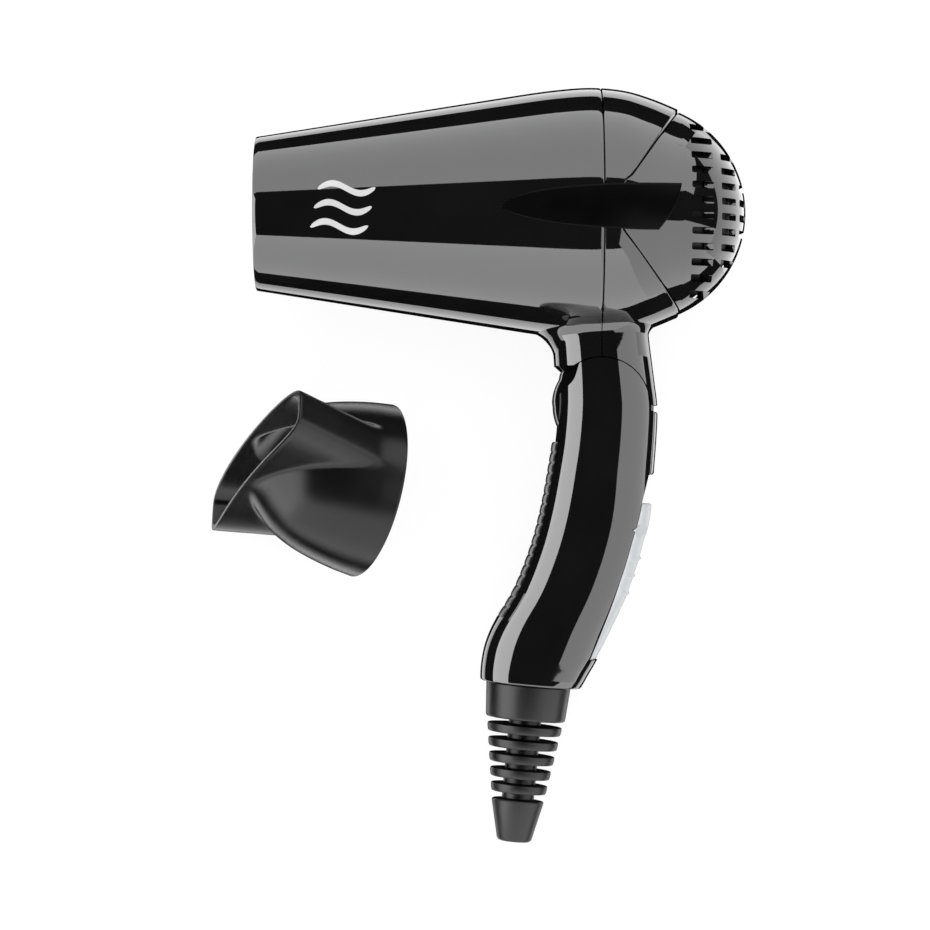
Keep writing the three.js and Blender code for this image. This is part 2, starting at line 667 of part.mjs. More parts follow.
function gripInsides() {
  const clampScrew = (name, x) => {
    const piece = screw(name, 7);
    piece.rotation.z = -Math.PI / 2;
    piece.position.set(x, -141.2, 0);
    piece.scale.set(0.8, 0.8, 0.8);
    return piece;
  };
  const clampHoles = [-29, -15].map((x) => {
    return new THREE.CylinderGeometry(1.4, 1.4, 20, 12).translate(x, -146, 0);
  });
  let clamp = solid(block([-33, -147.5, -5], [-11, -143, 5]));
  for (const hole of clampHoles) clamp = clamp.subtract(solid(hole));
  const route = (z) => [[-15, -127.5, z], [-13, -121, z], [-10, -116, z], [-8, -110, z]];
  const upward = (z) => [[1, -96.5, z], [-0.5, -91, z], [0, -86, z], [0.5, -82.6, z]];
  return [
    mesh('hinge_pin', barZ(0, PIVOT_Y, -14, 14, PIN_R), STEEL),
    mesh('switch_module', switchBlock([-14, 14], [-5.5, 5.5], [-6.5, 6.5]), CREAM_PLASTIC),
    mesh('terminal_block', block([-20, -136, -7], [-8, -128.4, 7]), CREAM_PLASTIC),
    mesh('cord_clamp', clamp, CREAM_PLASTIC),
    clampScrew('clamp_screw_1', -29),
    clampScrew('clamp_screw_2', -15),
    mesh('lead_wire_live', wire(route(3.5), 0.9, 8), RED_WIRE),
    mesh('lead_wire_neutral', wire(route(-3.5), 0.9, 8), BLUE_WIRE),
    mesh('fold_lead_live', wire(upward(3), 0.9, 8), RED_WIRE),
    mesh('fold_lead_neutral', wire(upward(-3), 0.9, 8), BLUE_WIRE),
  ];
}

// ---------------------------------------------------------------- switch

function switchPieces() {
  const top = -96.5;
  const bottom = -147.2;
  const levels = GRIP_BACK.map(([y]) => y).filter((y) => y <= top && y >= bottom);
  const body = gripLoft([top + 2, ...levels, bottom - 2], 0, GRIP_BACK);
  const cover = body.intersect(behindTrack(SLIDER_LIFT, top, bottom));
  const tab = solid(switchBlock([-8.6, -2.6], [8.4, 12.2], [-1.7, 1.7]));
  return [
    mesh('switch_slider', cover.add(tab), COOL_GREY),
    mesh('switch_toggle', switchBlock([-8.6, -2.6], [5.8, 8.1], [-1.7, 1.7]), CREAM_PLASTIC),
  ];
}

// ---------------------------------------------------------------- nozzle

/** One section of the nozzle across its own X axis: a circle that becomes a long rounded slot. */
function nozzleRing(x, blend, inset) {
  const sides = 24;
  const power = THREE.MathUtils.lerp(2, 5, blend);
  const long = THREE.MathUtils.lerp(NOZZLE_CUP_R, NOZZLE_SLOT.long, blend) - inset;
  const short = THREE.MathUtils.lerp(NOZZLE_CUP_R, NOZZLE_SLOT.short, blend) - inset;
  const ring = [];
  for (let i = 0; i < sides; i += 1) {
    const angle = (2 * Math.PI * i) / sides;
    const [c, s] = [Math.cos(angle), Math.sin(angle)];
    const y = long * Math.sign(c) * Math.abs(c) ** (2 / power);
    const z = short * Math.sign(s) * Math.abs(s) ** (2 / power);
    ring.push(new THREE.Vector3(x, y, z));
  }
  return ring;
}

function nozzleSkin(inset, past) {
  const cupLength = 13;
  const rings = [nozzleRing(-past, 0, inset)];
  const steps = 6;
  for (let i = 0; i <= steps; i += 1) {
    const t = i / steps;
    const x = THREE.MathUtils.lerp(cupLength, NOZZLE_LENGTH, t);
    rings.push(nozzleRing(x, THREE.MathUtils.smoothstep(t, -0.1, 1), inset));
  }
  if (past) rings.push(nozzleRing(NOZZLE_LENGTH + past, 1, inset));
  return solid(loft(rings));
}

/** The nozzle's outlet direction and the long direction of its slot, as it lies. */
const NOZZLE_AXIS = new THREE.Vector3(-0.908, 0.226, 0.352).normalize();
const NOZZLE_LONG = new THREE.Vector3(0.418, 0.46, 0.784);
const NOZZLE_PLACE = new THREE.Vector3(-75.9, -92.2, 0);

function nozzle() {
  const shell = nozzleSkin(0, 0).subtract(nozzleSkin(NOZZLE_WALL, 1));
  const piece = mesh('concentrator_nozzle', shell, SATIN_BLACK);
  const across = new THREE.Vector3().crossVectors(NOZZLE_AXIS, NOZZLE_LONG).normalize();
  const long = new THREE.Vector3().crossVectors(across, NOZZLE_AXIS);
  piece.quaternion.setFromRotationMatrix(new THREE.Matrix4().makeBasis(NOZZLE_AXIS, long, across));
  piece.position.copy(NOZZLE_PLACE);
  return piece;
}

// ---------------------------------------------------------------- assembly

const head = new THREE.Group();
head.add(
  ...housings(), intakeGrille(), lintFilter(), fanDuct(),
  sideTrim('side_trim_left', 1), sideTrim('side_trim_right', -1),
  ...motorPieces(), ...heaterPieces(), ...headLeads(), ...hingeHeadPieces(),
);

const rotor = new THREE.Group();
rotor.add(...rotorPieces());

const handle = new THREE.Group();
handle.add(...gripShells(), ...gripScrews(), ...gripInsides(), strainRelief());

const slideSwitch = new THREE.Group();
slideSwitch.add(...switchPieces());

const dryer = new THREE.Group();
dryer.add(head, rotor, handle, slideSwitch);

const looseNozzle = new THREE.Group();
looseNozzle.add(nozzle());

const tipped = new THREE.Group();
tipped.rotation.x = REST_TILT;
tipped.add(dryer, looseNozzle);

/** The level of a group's lowest point. */
function lowestPoint(group) {
  return new THREE.Box3().setFromObject(group, true).min.z;
}

// The loose nozzle is lowered until it lies on the same surface as the dryer.
tipped.updateMatrixWorld(true);
const drop = lowestPoint(looseNozzle) - lowestPoint(dryer);
looseNozzle.position.set(0, -drop * Math.sin(REST_TILT), -drop * Math.cos(REST_TILT));
tipped.updateMatrixWorld(true);

const outline = new THREE.Box3().setFromObject(tipped, true);
const middle = outline.getCenter(new THREE.Vector3());
tipped.position.set(-middle.x, -middle.y, -outline.min.z);

const hairDryer = new THREE.Group();
hairDryer.add(tipped);

export default hairDryer;
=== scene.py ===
"""Looks of the folding travel hair dryer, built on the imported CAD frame.

Every piece is drawn in the dryer's own frame, in millimetres: X runs along the barrel from the mouth
(-X) to the intake (+X), Y runs from the handle's end up to the barrel, Z is the dryer's left side, and
the origin is on the barrel's axis at the housings' seam. DESIGN turns that into the frame's metres.
"""

import json
import math

import bmesh
import bpy
import numpy as np
from mathutils import Matrix, Vector


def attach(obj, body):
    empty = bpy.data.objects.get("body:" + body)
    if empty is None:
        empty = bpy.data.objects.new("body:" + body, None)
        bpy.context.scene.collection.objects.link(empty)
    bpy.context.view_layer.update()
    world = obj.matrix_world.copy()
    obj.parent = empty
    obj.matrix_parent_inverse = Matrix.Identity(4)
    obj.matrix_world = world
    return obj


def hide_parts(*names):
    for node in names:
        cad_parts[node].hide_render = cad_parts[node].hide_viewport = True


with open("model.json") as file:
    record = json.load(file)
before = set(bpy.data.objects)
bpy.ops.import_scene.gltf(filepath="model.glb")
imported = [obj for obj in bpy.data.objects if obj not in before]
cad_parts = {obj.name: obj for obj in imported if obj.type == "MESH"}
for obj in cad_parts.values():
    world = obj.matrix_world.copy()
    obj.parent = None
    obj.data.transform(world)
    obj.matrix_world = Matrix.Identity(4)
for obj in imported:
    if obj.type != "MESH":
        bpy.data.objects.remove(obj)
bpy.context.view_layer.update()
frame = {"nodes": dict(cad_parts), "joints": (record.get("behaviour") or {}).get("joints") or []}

JOINTS = {joint["name"]: joint for joint in frame["joints"]}
AXIS_X = Vector(JOINTS["fan_spin"]["axis"])
AXIS_Z = -Vector(JOINTS["handle_fold"]["axis"])
AXIS_Y = AXIS_Z.cross(AXIS_X)
DESIGN = (
    Matrix.Translation(Vector(JOINTS["fan_spin"]["pos_m"]))
    @ Matrix((AXIS_X, AXIS_Y, AXIS_Z)).transposed().to_4x4()
    @ Matrix.Scale(0.001, 4)
)

# ------------------------------------------------------------------ driving dimensions, in mm

MOUTH_X = -114.5
REAR_EDGE_X = 26.0
WALL = 2.0
GAP = 0.3
EDGE_ROUND = 0.35            # small radius on the housings' edges
SEGMENTS = 288               # round the barrel
CREASE = 32.0                # degrees between faces that meet in a sharp edge

DOME_X = 11.9                # the grille is a ball about this point of the axis
DOME_R = 36.5
DOME_END_X = 48.3

PIVOT_Y = -64.3
EAR_R = 16.0
NECK_ARC_R = 16.35
KNUCKLE_R = 15.6
KNUCKLE_HALF = 8.7
KNUCKLE_BEARING = [-6, -5, 8, 12, 116, 124, 134, 140, 146, 162, 174, 180]   # degrees
KNUCKLE_SWELL = [0, 1.9, 1.9, 0, 0, 0.9, 2.0, 1.6, 0.7, 0.5, 0.3, 0]         # in mm
EAR_INNER_Z = 9.0
HALF_DEPTH = 17.0            # half of the handle's thickness
SECTION_POWER = 2.6          # how square the handle's section is

BOOT_X, BOOT_Y = -23.8, -156.5
BOOT_LEAN = math.radians(5.35)
BOOT_LENGTH = 52.7


def smooth_chain(points, first_slopes=()):
    """A smooth function through (position, value) points, given in rising order of position."""
    at, value = np.array(points, float).T
    slope = np.empty_like(value)
    slope[1:-1] = (value[2:] - value[:-2]) / (at[2:] - at[:-2])
    slope[0] = (value[1] - value[0]) / (at[1] - at[0])
    slope[-1] = (value[-1] - value[-2]) / (at[-1] - at[-2])
    slope[: len(first_slopes)] = first_slopes

    def evaluate(position):
        p = np.clip(np.asarray(position, float), at[0], at[-1])
        i = np.clip(np.searchsorted(at, p, side="right") - 1, 0, len(at) - 2)
        span = at[i + 1] - at[i]
        t = (p - at[i]) / span
        rise = value[i] * (1 + 2 * t) * (1 - t) ** 2 + value[i + 1] * t * t * (3 - 2 * t)
        return rise + span * (slope[i] * t * (1 - t) ** 2 - slope[i + 1] * t * t * (1 - t))

    return evaluate


TAPER = (39.4 - 25.7) / (114.5 - 26.7)
barrel_radius = smooth_chain(
    [(MOUTH_X, 25.6), (-26.7, 39.4), (-14, 41.1), (-3, 41.8), (8, 40.8), (17, 38.2), (27, 34.1)],
    (TAPER, TAPER),
)

grip_front = smooth_chain([
    (-162, -39.9), (-152.7, -39.8), (-145, -38.7), (-139.3, -36.9), (-134, -34.2), (-129, -31.1),
    (-124, -28.4), (-116, -25.1), (-107.3, -22.2), (-96.7, -19.6), (-86, -17.6), (-75, -15.9),
    (-62, -15.0), (-46, -15.6), (-36, -17.0),
])
grip_back = smooth_chain([
    (-162, -9.6), (-152.7, -4.4), (-147.2, -0.9), (-137, 4.3), (-127.5, 8.7), (-120, 11.6),
    (-113, 13.9), (-103.7, 16.2), (-96.5, 17.2), (-86.3, 17.8), (-74, 18.7), (-64, 19.0),
    (-57, 18.2), (-50, 17.3), (-42, 16.3), (-36, 15.8),
])
track_back = smooth_chain([
    (-149.5, -5.2), (-138, -0.2), (-128.7, 3.6), (-118, 7.4), (-108.3, 10.2), (-103, 11.8),
    (-96.3, 13.4), (-87, 15.8),
])


# ------------------------------------------------------------------ mesh code

def make(name, points, faces, material, body, replaces=(), crease=CREASE):
    """A piece from design-frame points, smooth except where faces meet at more than the crease."""
    data = bpy.data.meshes.new(name)
    data.from_pydata([tuple(p) for p in points], [], faces)
    data.transform(DESIGN)
    tidy = bmesh.new()
    tidy.from_mesh(data)
    bmesh.ops.remove_doubles(tidy, verts=tidy.verts, dist=2e-6)
    bmesh.ops.dissolve_degenerate(tidy, edges=tidy.edges, dist=1e-6)
    bmesh.ops.recalc_face_normals(tidy, faces=tidy.faces)
    tidy.to_mesh(data)
    tidy.free()
    data.shade_smooth()
    data.set_sharp_from_angle(angle=math.radians(crease))
    data.materials.append(material)
    piece = bpy.data.objects.new(name, data)
    bpy.context.scene.collection.objects.link(piece)
    if body:
        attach(piece, body)
    if replaces:
        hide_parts(*replaces)
    return piece


def grid_faces(rows, columns, around=False):
    """Quads over a grid of points; around joins the last column to the first."""
    faces = []
    for row in range(rows - 1):
        for column in range(columns if around else columns - 1):
            a = row * columns + column
            b = row * columns + (column + 1) % columns
            faces.append((a, b, b + columns, a + columns))
    return faces


def loft(rings, caps=True):
    """Points and faces of a skin over closed rings of equal length."""
    rings = [np.asarray(ring, float) for ring in rings]
    count = len(rings[0])
    points = np.vstack(rings)
    faces = grid_faces(len(rings), count, around=True)
    if caps:
        faces.append(tuple(range(count))[::-1])
        faces.append(tuple(range((len(rings) - 1) * count, len(rings) * count)))
    return points, faces


def join(*parts):
    """One list of points and faces out of several."""
    points = []
    faces = []
    for part_points, part_faces in parts:
        offset = sum(len(p) for p in points)
        points.append(np.asarray(part_points, float))
        faces += [tuple(i + offset for i in face) for face in part_faces]
    return np.vstack(points), faces


def revolve(profile, segments=SEGMENTS, closed=True):
    """A closed (or open) [x, radius] profile turned about X."""
    angle = np.linspace(0, 2 * math.pi, segments, endpoint=False)
    rings = []
    for x, radius in list(profile) + ([profile[0]] if closed else []):
        rings.append(np.column_stack([
            np.full(segments, x), radius * np.sin(angle), radius * np.cos(angle),
        ]))
    return loft(rings, caps=False)


def around_z(points, centre=(0.0, PIVOT_Y)):
    """Moves points turned about X to be turned about Z through a point."""
    x, y, z = np.asarray(points, float).T
    return np.column_stack([centre[0] + z, centre[1] + y, x])


def section_z(x, y):
    """Half the thickness of the handle's and neck's rounded section at a point of the side view."""
    front, back = grip_front(y), grip_back(y)
    reach = np.clip(np.abs((2 * x - front - back) / (back - front)), 0, 1)
    return HALF_DEPTH * (1 - reach ** SECTION_POWER) ** (1 / SECTION_POWER)


def section_x(y, z, side):
    """Where the section's front (side -1) or back (side 1) is as thick as z."""
    front, back = grip_front(y), grip_back(y)
    reach = (1 - (min(abs(z), HALF_DEPTH) / HALF_DEPTH) ** SECTION_POWER) ** (1 / SECTION_POWER)
    return (front + back) / 2 + side * reach * (back - front) / 2


# ------------------------------------------------------------------ materials

def new_material(name):
    """A node material, with its nodes, its links and its shader."""
    material = bpy.data.materials.new(name)
    material.use_nodes = True
    nodes = material.node_tree.nodes
    return material, nodes, material.node_tree.links, nodes["Principled BSDF"]


def noise(nodes, links, scale, detail=3.0):
    """Noise over the object's own coordinates, in metres."""
    place = nodes.new("ShaderNodeTexCoord")
    texture = nodes.new("ShaderNodeTexNoise")
    texture.inputs["Scale"].default_value = scale
    texture.inputs["Detail"].default_value = detail
    links.new(place.outputs["Object"], texture.inputs["Vector"])
    return texture.outputs["Fac"]


def spread(nodes, links, source, low, high):
    """Stretches a noise to a range."""
    stretch = nodes.new("ShaderNodeMapRange")
    stretch.inputs["From Min"].default_value = 0.3
    stretch.inputs["From Max"].default_value = 0.7
    stretch.inputs["To Min"].default_value = low
    stretch.inputs["To Max"].default_value = high
    links.new(source, stretch.inputs["Value"])
    return stretch.outputs["Result"]


DRIFT_SCALE = 55.0           # slow drifts of tone and gloss, about 20 mm across
GRAIN_DEPTH = 0.0001         # metres


def plastic(name, colour, roughness, grain, grain_scale, specular=0.5, metallic=0.0, tint=0.12):
    """Moulded or drawn material: slow drifts of tone and gloss, and a fine grain in the surface."""
    material, nodes, links, shader = new_material(name)
    shader.inputs["Specular IOR Level"].default_value = specular
    shader.inputs["Metallic"].default_value = metallic
    drift = noise(nodes, links, DRIFT_SCALE)
    low, high = roughness
    links.new(spread(nodes, links, drift, low, high), shader.inputs["Roughness"])
    ramp = nodes.new("ShaderNodeValToRGB")
    ramp.color_ramp.elements[0].position = 0.3
    ramp.color_ramp.elements[1].position = 0.7
    ramp.color_ramp.elements[0].color = (*[c * (1 - tint) for c in colour], 1)
    ramp.color_ramp.elements[1].color = (*[min(1, c * (1 + tint)) for c in colour], 1)
    links.new(drift, ramp.inputs["Fac"])
    links.new(ramp.outputs["Color"], shader.inputs["Base Color"])
    bump = nodes.new("ShaderNodeBump")
    bump.inputs["Strength"].default_value = grain
    bump.inputs["Distance"].default_value = GRAIN_DEPTH
    links.new(noise(nodes, links, grain_scale, 2.0), bump.inputs["Height"])
    links.new(bump.outputs["Normal"], shader.inputs["Normal"])
    return material


GLOSS_BLACK = plastic("gloss_black", (0.0065, 0.0065, 0.007), (0.02, 0.04), 0.01, 900)
INLAY_BLACK = plastic("inlay_black", (0.001, 0.001, 0.001), (0.3, 0.38), 0.03, 3000, specular=0.03)
SATIN_BLACK = plastic("satin_black", (0.005, 0.005, 0.0055), (0.2, 0.27), 0.3, 5200, specular=0.13)
RIB_BLACK = plastic("ribbed_grip_black", (0.01, 0.01, 0.0105), (0.22, 0.32), 0.2, 4200, specular=0.3)
BOOT_RUBBER = plastic("boot_rubber", (0.005, 0.005, 0.0055), (0.3, 0.38), 0.4, 4200, specular=0.17)
COOL_GREY = plastic("cool_grey", (0.53, 0.545, 0.56), (0.36, 0.46), 0.15, 5200, tint=0.02)
MARK_GREY = plastic("mark_grey", (0.55, 0.55, 0.55), (0.4, 0.5), 0.05, 5200, tint=0.02)
DARK_PLASTIC = plastic("inner_black", (0.008, 0.008, 0.009), (0.4, 0.5), 0.2, 4200, specular=0.1)
MICA = plastic("mica", (0.48, 0.36, 0.2), (0.35, 0.6), 0.6, 700, tint=0.3)
WIRE = plastic("resistance_wire", (0.32, 0.3, 0.29), (0.3, 0.45), 0.2, 5200, metallic=1.0)
STEEL = plastic("steel", (0.5, 0.51, 0.52), (0.2, 0.36), 0.15, 4200, metallic=1.0)
CERAMIC = plastic("ceramic", (0.045, 0.045, 0.048), (0.45, 0.6), 0.4, 3000)
CREAM = plastic("cream_plastic", (0.68, 0.62, 0.48), (0.4, 0.5), 0.1, 5200, tint=0.04)
COPPER = plastic("copper", (0.6, 0.26, 0.13), (0.25, 0.4), 0.3, 5200, metallic=1.0)
BOARD = plastic("board_green", (0.02, 0.11, 0.04), (0.3, 0.45), 0.2, 1700, tint=0.25)
RED_WIRE = plastic("red_wire", (0.35, 0.012, 0.01), (0.35, 0.45), 0.1, 3000, tint=0.08)
BLUE_WIRE = plastic("blue_wire", (0.012, 0.05, 0.3), (0.35, 0.45), 0.1, 3000, tint=0.08)

CARRIED_OVER = {
    DARK_PLASTIC: ["lint_filter", "fan_duct", "fan_impeller", "outlet_guard"],
    MICA: ["heat_shield_sleeve", "mica_board_main", "mica_board_left", "mica_board_right"],
    WIRE: ["heating_coil_front", "heating_coil_rear"],
    STEEL: [
        "motor_can", "motor_shaft", "thermal_fuse", "hinge_bush", "detent_washer_left",
        "detent_washer_right", "hinge_pin", "handle_screw_1", "handle_screw_2", "handle_screw_3",
        "clamp_screw_1", "clamp_screw_2",
    ],
    CERAMIC: ["magnet_upper", "magnet_lower"],
    CREAM: [
        "motor_end_cap", "thermostat", "switch_module", "terminal_block", "cord_clamp",
        "switch_toggle",
    ],
    COPPER: ["motor_armature"],
    BOARD: ["rectifier_board"],
    RED_WIRE: ["head_lead_live", "lead_wire_live", "fold_lead_live"],
    BLUE_WIRE: ["head_lead_neutral", "lead_wire_neutral", "fold_lead_neutral"],
}


def dress_cad_nodes():
    """Gives every CAD node that no piece replaces its material."""
    for material, names in CARRIED_OVER.items():
        for name in names:
            data = frame["nodes"][name].data
            data.materials.clear()
            data.materials.append(material)
            data.shade_smooth()
            data.set_sharp_from_angle(angle=math.radians(CREASE))


# ------------------------------------------------------------------ barrel

def wall_rows(start, end, rows):
    """Rings of the barrel's wall between two edges, with rounded lips: (x, radius) at every angle."""
    bevel = EDGE_ROUND
    lips = [(0.0, WALL), (0.0, bevel), (0.3 * bevel, 0.3 * bevel), (bevel, 0.0)]
    rings = [(start + along, barrel_radius(start + along) - drop) for along, drop in lips]
    for t in np.linspace(0, 1, rows)[1:-1]:
        x = start + bevel + (end - start - 2 * bevel) * t
        rings.append((x, barrel_radius(x)))
    rings += [(end - along, barrel_radius(end - along) - drop) for along, drop in reversed(lips)]
    for t in np.linspace(1, 0, 12)[1:-1]:
        x = start + (end - start) * t
        rings.append((x, barrel_radius(x) - WALL))
    return rings


def ring_points(x, radius):
    """Points round the barrel's axis, where x and the radius may differ from angle to angle."""
    angle = np.linspace(0, 2 * math.pi, SEGMENTS, endpoint=False)
    x = np.broadcast_to(x, angle.shape)
    return np.column_stack([x, radius * np.sin(angle), radius * np.cos(angle)])


def wall_skin(start, end, rows):
    """Points and faces of the barrel's wall between two edges."""
    rings = [ring_points(x, radius) for x, radius in wall_rows(start, end, rows)]
    return loft([*rings, rings[0]], caps=False)


# The rear housing's back edge in side view. It runs forward to a narrow end behind the side trim.
V_Y = [-33.7, -7.5, 7.5, 9.8, 34.7]
V_X = [26.0, 5.9, 5.9, 8.9, 26.0]


def rear_edge():
    """X of the rear housing's back edge for every angle round the barrel."""
    sine = np.sin(np.linspace(0, 2 * math.pi, SEGMENTS, endpoint=False))
    x = np.full(SEGMENTS, REAR_EDGE_X)
    for _ in range(40):
        x = 0.5 * x + 0.5 * np.interp(barrel_radius(x) * sine, V_Y, V_X)
    return x


CAP_POINT_X = 4.0            # the grille is flush with the barrel up to here


def cap_radius(x):
    """The grille's outline: flush with the barrel at its point, then lower, then a ball."""
    x = np.asarray(x, float)
    dome_edge = math.sqrt(DOME_R ** 2 - (REAR_EDGE_X - DOME_X) ** 2)
    t = np.clip((x - CAP_POINT_X) / (REAR_EDGE_X - CAP_POINT_X), 0, 1)
    drop = (barrel_radius(REAR_EDGE_X) - dome_edge) * t
    ball = np.sqrt(np.clip(DOME_R ** 2 - (x - DOME_X) ** 2, 0.01, None))
    return np.where(x < REAR_EDGE_X, barrel_radius(x) - drop, ball)


def barrel_at(x, y, lift=0.0):
    """The barrel's left side over a point of the side view."""
    radius = barrel_radius(x) + lift
    return np.sqrt(np.clip(radius ** 2 - y ** 2, 0, None))


# ------------------------------------------------------------------ neck

NECK_LIP_X = -9.3            # the neck's hollow for the ears ends here, in front
FOOT_LOW, FOOT_HIGH = 2.0, 6.4       # spread of the neck's foot on the barrel, behind and in front
FOOT_POWER = 1.5


def neck_bottom(x):
    """The neck's lower edge in side view: an arc over the handle's ears, level in front of the lip."""
    y = PIVOT_Y + np.sqrt(np.clip(NECK_ARC_R ** 2 - x ** 2, 0.16, None))
    corner = PIVOT_Y + math.sqrt(NECK_ARC_R ** 2 - NECK_LIP_X ** 2)
    return np.where(x < NECK_LIP_X, corner, y)


def neck_skin():
    """The neck from the fold hinge up to a rounded foot on the barrel."""
    count = 200
    power = SECTION_POWER
    angle = np.linspace(0, 2 * math.pi, count, endpoint=False)
    c, s = np.cos(angle), np.sin(angle)
    reach_x = np.sign(c) * np.abs(c) ** (2 / power)
    reach_z = np.sign(s) * np.abs(s) ** (2 / power)
    foot = FOOT_LOW + (FOOT_HIGH - FOOT_LOW) * ((1 - c) / 2) ** 6

    def section(y):
        front, back = grip_front(y), grip_back(y)
        return (front + back) / 2 + reach_x * (back - front) / 2, HALF_DEPTH * reach_z

    low = np.full(count, -50.0)
    high = np.full(count, -42.0)
    for _ in range(60):
        x, _z = section(low)
        low = 0.6 * low + 0.4 * neck_bottom(x)
        x, z = section(high)
        high = 0.5 * high - 0.5 * (np.sqrt(barrel_radius(x) ** 2 - z ** 2) + foot)
    rings = []
    for t in np.linspace(0, 1, 26):
        y = low + (high - low) * t
        x, z = section(y)
        rings.append(np.column_stack([x, y, z]))
    half = (grip_back(high) - grip_front(high)) / 2
    slope_x = np.sign(c) * np.abs(reach_x) ** (power - 1) / half
    slope_z = np.sign(s) * np.abs(reach_z) ** (power - 1) / HALF_DEPTH
    length = np.hypot(slope_x, slope_z)
    x, z = section(high)
    for t in np.linspace(0, 1, 10)[1:]:
        out = foot * t ** FOOT_POWER
        px, pz = x + out * slope_x / length, z + out * slope_z / length
        y = -np.sqrt(barrel_radius(px) ** 2 - pz ** 2) - foot * (1 - t) ** FOOT_POWER + 0.1 * t
        rings.append(np.column_stack([px, y, pz]))
    points, faces = loft(rings, caps=False)
    bottom_points, bottom_faces = neck_floor(rings[0])
    return join((points, faces), (bottom_points, bottom_faces))


def neck_floor(rim):
    """Closes the neck across its hollow, lower in the middle, where the knuckle joins on."""
    count = len(rim)
    half = count // 2
    rows = []
    for i in range(half + 1):
        x, y, z = rim[i]
        away = math.hypot(x, y - PIVOT_Y)
        shrink = (KNUCKLE_R - 0.15) / away
        inner = (x * shrink, PIVOT_Y + (y - PIVOT_Y) * shrink)
        edge = min(z, KNUCKLE_HALF)
        depths = [(z, x, y), (edge, x, y), (edge, *inner), (-edge, *inner), (-edge, x, y), (-z, x, y)]
        rows.append(np.array([(px, py, pz) for pz, px, py in depths]))
    return np.vstack(rows), grid_faces(len(rows), 6)


def split_at(part, x, side):
    """Keeps the part of a skin on one side of a plane across X, with a lip turned in along the cut."""
    shape = bmesh.new()
    data = bpy.data.meshes.new("split")
    data.from_pydata([tuple(p) for p in part[0]], [], part[1])
    shape.from_mesh(data)
    bmesh.ops.remove_doubles(shape, verts=shape.verts, dist=1e-4)
    geometry = [*shape.verts, *shape.edges, *shape.faces]
    rim = bmesh.ops.bisect_plane(
        shape, geom=geometry, plane_co=(x, 0, 0), plane_no=(side, 0, 0), clear_inner=True,
    )
    lip = bmesh.ops.extrude_edge_only(
        shape, edges=[item for item in rim["geom_cut"] if isinstance(item, bmesh.types.BMEdge)],
    )
    for vertex in [item for item in lip["geom"] if isinstance(item, bmesh.types.BMVert)]:
        vertex.co.z *= 0.3
        vertex.co.y += 1.5 * (0.5 if vertex.co.y < -50 else -0.5)
    points = [tuple(v.co) for v in shape.verts]
    shape.verts.index_update()
    faces = [tuple(v.index for v in face.verts) for face in shape.faces]
    shape.free()
    bpy.data.meshes.remove(data)
    return np.array(points), faces


def knuckle():
    """Round middle of the hinge, which belongs to the neck."""
    edge = 0.8
    profile = [(-KNUCKLE_HALF, 0.01), (-KNUCKLE_HALF, KNUCKLE_R - edge)]
    for t in np.linspace(0, math.pi / 2, 5):
        lift = edge * (1 - math.cos(t))
        profile.append((-KNUCKLE_HALF + lift, KNUCKLE_R - edge + edge * math.sin(t)))
    profile += [(-x, r) for x, r in reversed(profile)]
    points, faces = revolve(profile, 144, closed=False)
    x, y, z = around_z(points).T
    bearing = np.degrees(np.arctan2(y - PIVOT_Y, x))
    swell = 1 + np.interp(bearing, KNUCKLE_BEARING, KNUCKLE_SWELL) / KNUCKLE_R
    return np.column_stack([x * swell, PIVOT_Y + (y - PIVOT_Y) * swell, z]), faces


def head():
    """Both housings, each with its half of the barrel and its half of the neck."""
    front = wall_skin(np.full(SEGMENTS, MOUTH_X), np.full(SEGMENTS, -GAP / 2), 90)
    rear = wall_skin(np.full(SEGMENTS, GAP / 2), rear_edge() - GAP / 2, 40)
    neck = neck_skin()
    make("front_housing_skin", *join(front, split_at(neck, -GAP / 2, -1)), GLOSS_BLACK, "head",
         ["front_housing"])
    make("rear_housing_skin", *join(rear, split_at(neck, GAP / 2, 1), knuckle()), GLOSS_BLACK, "head",
         ["rear_housing"])


# ------------------------------------------------------------------ intake grille

SLOT_PITCH = 5.0
SLOT_HEIGHT = 2.3
SLOT_ROWS = 12
# radius of the dark sheet inside the grille that paints shade into the slots
SCREEN_R = 33.8
FLAT_END_X = 28.0            # the slots are cut from here back
CUTTER_END_X = 60.0
SLOT_RINGS = [(27.3, 32.4), (17.4, 24.6), (6.0, 14.6)]


def slot_outline(y, inner, outer):
    """Outlines (y, z) of the slots that one row has in one ring, seen from behind."""
    low, high = y - SLOT_HEIGHT / 2, y + SLOT_HEIGHT / 2
    near = min(abs(low), abs(high))
    far = max(abs(low), abs(high))
    if far > outer - 1.5:
        return []
    end = [math.sqrt(outer ** 2 - level ** 2) for level in (low, high)]
    if near > inner:
        return [[(low, -end[0]), (high, -end[1]), (high, end[1]), (low, end[0])]]
    start = [math.sqrt(max(inner ** 2 - level ** 2, 0.25)) for level in (low, high)]
    right = [(low, start[0]), (high, start[1]), (high, end[1]), (low, end[0])]
    return [right, [(level, -z) for level, z in reversed(right)]]


def rounded(outline, radius=0.5, steps=3):
    """The outline with its corners rounded."""
    result = []
    count = len(outline)
    for i in range(count):
        corner = np.array(outline[i], float)
        before = np.array(outline[i - 1], float) - corner
        after = np.array(outline[(i + 1) % count], float) - corner
        reach = min(radius, np.linalg.norm(before) / 2.1, np.linalg.norm(after) / 2.1)
        start = corner + before / np.linalg.norm(before) * reach
        end = corner + after / np.linalg.norm(after) * reach
        for t in np.linspace(0, 1, steps):
            result.append(tuple((1 - t) ** 2 * start + 2 * t * (1 - t) * corner + t * t * end))
    return result


